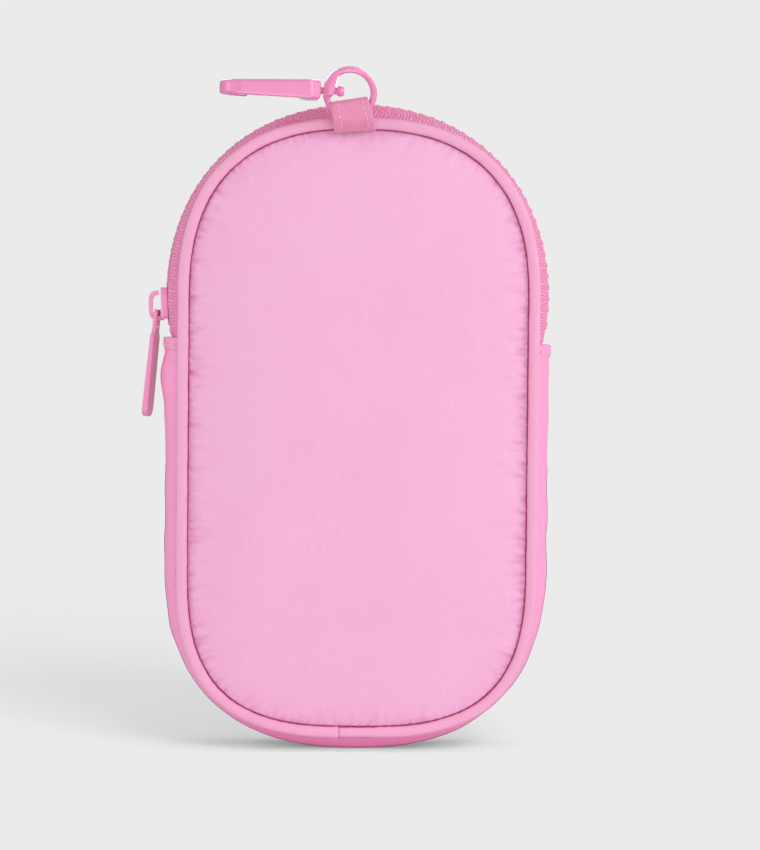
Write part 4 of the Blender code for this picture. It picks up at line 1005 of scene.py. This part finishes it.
def make_teeth(name, side, start, end, mat):
    """The teeth of one row whose place lies between two angles."""
    shift = 0.5 if side < 0 else 0.0
    bm = bmesh.new()
    count = int(math.pi / PITCH)
    span = TOOTH_SPAN / MID_R
    for i in range(-count, count + 1):
        a = math.pi / 2 + (i + shift) * PITCH
        if a - span < start or a + span > end:
            continue
        one_tooth(bm, a, side)
    bmesh.ops.recalc_face_normals(bm, faces=bm.faces)
    mesh = bpy.data.meshes.new(name)
    bm.to_mesh(mesh)
    bm.free()
    mesh.materials.append(mat)
    mesh.shade_smooth()
    mesh.set_sharp_from_angle(angle=math.radians(50))
    return add_object(name, mesh)


FOLD_GAP = 0.00015
gap = FOLD_GAP / MID_R
LEFT_END = math.pi - CHAIN_END
LEFT_FOLD = math.pi - FOLD_ANGLE
for name, side, start, end, body, node in (
    ("teeth_back_row", 1, CHAIN_END, LEFT_END, "pouch", "zip_teeth_back"),
    ("teeth_front_row", -1, FOLD_ANGLE + gap, LEFT_FOLD - gap, "front_flap", "zip_teeth_front"),
    ("teeth_front_left_row", -1, LEFT_FOLD + gap, LEFT_END, "pouch", "zip_teeth_front_left"),
    ("teeth_front_right_row", -1, CHAIN_END, FOLD_ANGLE - gap, "pouch", "zip_teeth_front_right"),
):
    row = make_teeth(name, side, start, end, M["teeth"])
    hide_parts(node)
    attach(row, body)


# fabric folded at the zip's ends

END_TOP_LEFT, END_TOP_RIGHT = 0.1176, 0.1166
END_HALF_DEPTH, END_THICKNESS, END_PUFF = 0.0052, 0.0006, 0.0008


def zip_end(side_x):
    """The tape ends tucked under a folded strip just above the gusset's hem."""
    top_z = END_TOP_LEFT if side_x < 0 else END_TOP_RIGHT
    low_z = (GUSSET_TOP if side_x < 0 else RIGHT_TOP) - 0.0001

    def place(down, share):
        z = top_z + (low_z - top_z) * down
        puff = END_PUFF * (1 - abs(share) ** 2.5) * math.sin(math.pi * (0.15 + 0.75 * down))
        x = math.sqrt((MID_R + 0.0004 + puff) ** 2 - (z - ARCH_Z) ** 2)
        return x + 0.00015 * n3(z / 0.002, share * 3, side_x * 2), z

    name = "zip_end_left" if side_x < 0 else "zip_end_right"
    side_patch(name, side_x, 11, 15, END_HALF_DEPTH, END_THICKNESS, place)


zip_end(-1)
zip_end(1)


# hang tab

TAB_TOP_HALF, TAB_FOOT_HALF, TAB_TOP_X, TAB_FOOT_X = 0.0052, 0.0058, -0.0037, -0.0017
TAB_TOP_Z, TAB_FOOT_Z, TAB_T = 0.1801, 0.1713, 0.0006
TAB_TOP_TILT, TAB_FOOT_TILT = math.radians(9.5), math.radians(4.0)
TAB_GAP, TAB_COLUMNS, TAB_BEND_STEPS = 0.0003, 27, 12
TAB_PULL, TAB_RIDGE, TAB_PUFF = 0.00034, 0.00020, 0.00016
RING, RING_WIRE = Vector((-0.0032, -0.0155, 0.1817)), 0.0009


def tab_path():
    """Middle line of the strap in y and z, from the front foot over the ring to the back foot."""
    front = RING.y - RING_WIRE - TAB_GAP - TAB_T / 2
    back = RING.y + RING_WIRE + TAB_GAP + TAB_T / 2
    bend = (back - front) / 2
    middle = (front + back) / 2
    top = TAB_TOP_Z - bend - TAB_T / 2
    foot = TAB_FOOT_Z
    path = [(-0.0137, foot), (-0.0146, foot + 0.0009), (-0.0158, foot + 0.0017),
            (front + 0.0001, foot + 0.0032), (front - 0.00015, foot + 0.0051)]
    for i in range(TAB_BEND_STEPS + 1):
        w = math.pi * (1 - i / TAB_BEND_STEPS)
        path.append((middle + bend * math.cos(w), top + bend * math.sin(w)))
    path += [(back, foot + 0.0046), (back + 0.0002, foot + 0.0026), (back + 0.0003, foot + 0.0011)]
    return path


def tab_row(z):
    """Middle, half width and tilt of the strap at the height z."""
    share = min(1, max(0, (z - TAB_FOOT_Z) / (TAB_TOP_Z - TAB_FOOT_Z)))
    centre = TAB_FOOT_X + (TAB_TOP_X - TAB_FOOT_X) * share ** 1.3
    half = TAB_FOOT_HALF + (TAB_TOP_HALF - TAB_FOOT_HALF) * share
    tilt = TAB_FOOT_TILT + (TAB_TOP_TILT - TAB_FOOT_TILT) * share
    return centre, half, math.tan(tilt)


def make_tab():
    """The strap round the ring, with two lines of cream stitches."""
    path = tab_path()
    verts, uvs = [], []
    run = 0
    for i, (y, z) in enumerate(path):
        if i:
            run += math.dist(path[i], path[i - 1])
        cx, half, tilt = tab_row(z)
        front_layer = i <= len(path) // 2
        for j in range(TAB_COLUMNS):
            u = 2 * j / (TAB_COLUMNS - 1) - 1
            pull = TAB_PULL * n3(u * 2.2, run / 0.0036, 1.0)
            ridge = TAB_RIDGE * math.exp(-((abs(u) - 0.84) / 0.10) ** 2)
            puff = TAB_PUFF * (1 - u * u)
            lift = (puff + ridge * 0.6 + pull) * (-1 if front_layer else 0.6)
            verts.append((cx + half * u, y + lift, z + half * u * tilt))
            uvs.append((u * half, run))
    obj = mesh_object("hang_tab_strap", verts, grid_faces(len(path), TAB_COLUMNS), M["tab"], uvs)
    thicken(obj, TAB_T, 0.0)
    subdivide(obj)
    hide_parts("hang_tab")
    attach(obj, "front_flap")
    for label, u in (("left", -0.62), ("right", 0.66)):
        line, normals = [], []
        for i in range(1, 13):
            y, z = path[i]
            cx, half, tilt = tab_row(z)
            before, after = path[i - 1], path[i + 1]
            dy, dz = after[0] - before[0], after[1] - before[1]
            length = math.hypot(dy, dz)
            ny, nz = -dz / length, dy / length
            off = TAB_T / 2 + 0.0001
            line.append((cx + half * u, y + ny * off, z + nz * off + half * u * tilt))
            normals.append((0, ny, nz))
        st = stitches(f"tab_stitch_{label}", line, normals, M["cream"], length=0.0012, gap=0.0005,
                      width=0.00014, lift=0.00008)
        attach(st, "front_flap")


make_tab()


# carried-over metal and stops

def finish_node(name, mat):
    """Gives a CAD node its material and smooth shading between its edges."""
    node = NODES[name]
    node.data.materials.clear()
    node.data.materials.append(mat)
    node.data.shade_smooth()
    node.data.set_sharp_from_angle(angle=math.radians(38))


for node in ("clasp_ring", "swivel_post", "hook_body", "hook_gate"):
    finish_node(node, M["metal"])
for node in ("slider_body", "puller"):
    finish_node(node, M["metal_dark"])
for node in ("zip_top_stop_front", "zip_top_stop_back", "zip_bottom_stop"):
    finish_node(node, M["teeth"])
for node in ("gate_pin", "gate_spring"):
    finish_node(node, M["steel"])


# front pieces that span the flap hinge, their placing baked into their points

for piece in (front_panel, front_lining, front_piping, front_seam, front_edge, front_tape):
    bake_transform(piece)


# floor, light and camera

def make_floor():
    """A pale floor that shows only the shadows that fall on it."""
    bpy.ops.mesh.primitive_plane_add(size=3.0, location=(0, 0, -0.0001))
    floor = bpy.context.object
    floor.name = "floor"
    n = Nodes("floor_paper")
    tone = n.mix(n.times(n.noise_at(220), 0.04), lin(238, 238, 238), lin(228, 228, 228))
    floor.data.materials.append(n.surface({"Base Color": tone, "Roughness": 1.0, "Specular IOR Level": 0.0}))
    floor.is_shadow_catcher = True
    return floor


floor = make_floor()


def area_light(name, position, target, size, energy):
    """A soft light at position that faces target."""
    light = bpy.data.lights.new(name, "AREA")
    light.shape = "RECTANGLE"
    light.size, light.size_y = size
    light.energy = energy
    obj = add_object(name, light)
    obj.location = position
    obj.rotation_euler = (Vector(target) - Vector(position)).to_track_quat("-Z", "Y").to_euler()
    return obj


area_light("key", (0.40, -0.85, 0.78), (0, 0, 0.09), (0.55, 0.55), 2.1)
area_light("front_fill", (0.15, -1.0, 0.30), (0, 0, 0.09), (0.9, 0.4), 1.1)
fills = [
    area_light("left_fill", (-0.90, -0.35, 0.30), (0, 0, 0.09), (0.8, 0.8), 3.6),
    area_light("right_fill", (0.90, -0.30, 0.30), (0, 0, 0.09), (0.6, 0.8), 4.5),
    area_light("low_fill", (0.0, -0.95, -0.50), (0, 0, 0.04), (0.8, 0.5), 3.0),
    area_light("back_fill", (0.25, 1.0, 0.50), (0, 0, 0.09), (1.0, 0.8), 5.0),
]
area_light("top", (0.0, -0.05, 1.0), (0, 0, 0.09), (0.7, 0.7), 0.6)
shaded = bpy.data.collections.new("shaded_from_fills")
shaded.objects.link(floor)
shaded.collection_objects[0].light_linking.link_state = "EXCLUDE"
for fill in fills:
    fill.light_linking.receiver_collection = shaded
    fill.light_linking.blocker_collection = shaded

world = bpy.data.worlds.new("studio")
scene.world = world
world.use_nodes = True
wt = world.node_tree
wt.nodes.clear()
out = wt.nodes.new("ShaderNodeOutputWorld")
path_node = wt.nodes.new("ShaderNodeLightPath")
seen = wt.nodes.new("ShaderNodeBackground")
seen.inputs["Color"].default_value = lin(235, 235, 235)
lit = wt.nodes.new("ShaderNodeBackground")
lit.inputs["Color"].default_value = lin(240, 240, 240)
lit.inputs["Strength"].default_value = 0.41
pick = wt.nodes.new("ShaderNodeMixShader")
wt.links.new(path_node.outputs["Is Camera Ray"], pick.inputs[0])
wt.links.new(lit.outputs[0], pick.inputs[1])
wt.links.new(seen.outputs[0], pick.inputs[2])
wt.links.new(pick.outputs[0], out.inputs["Surface"])

camera_data = bpy.data.cameras.new("photo_camera")
camera = add_object("photo_camera", camera_data)
AIM = Vector((0.0065, 0.0, 0.0902))
DISTANCE, VIEW_WIDTH = 0.9, 0.2128
AZIMUTH, ELEVATION, TILT = -2.3, 2.3, 0.55
azimuth, elevation = math.radians(AZIMUTH), math.radians(ELEVATION)
camera.location = AIM + DISTANCE * Vector((math.sin(azimuth) * math.cos(elevation),
                                           -math.cos(azimuth) * math.cos(elevation), math.sin(elevation)))
roll = Matrix.Rotation(math.radians(TILT), 4, "Z")
facing = (AIM - camera.location).to_track_quat("-Z", "Y").to_matrix().to_4x4()
camera.rotation_euler = (facing @ roll).to_euler()
camera_data.sensor_fit = "HORIZONTAL"
camera_data.sensor_width = 36
camera_data.lens = camera_data.sensor_width * DISTANCE / VIEW_WIDTH
camera_data.clip_start = 0.01
scene.camera = camera
scene.view_settings.view_transform = "Standard"
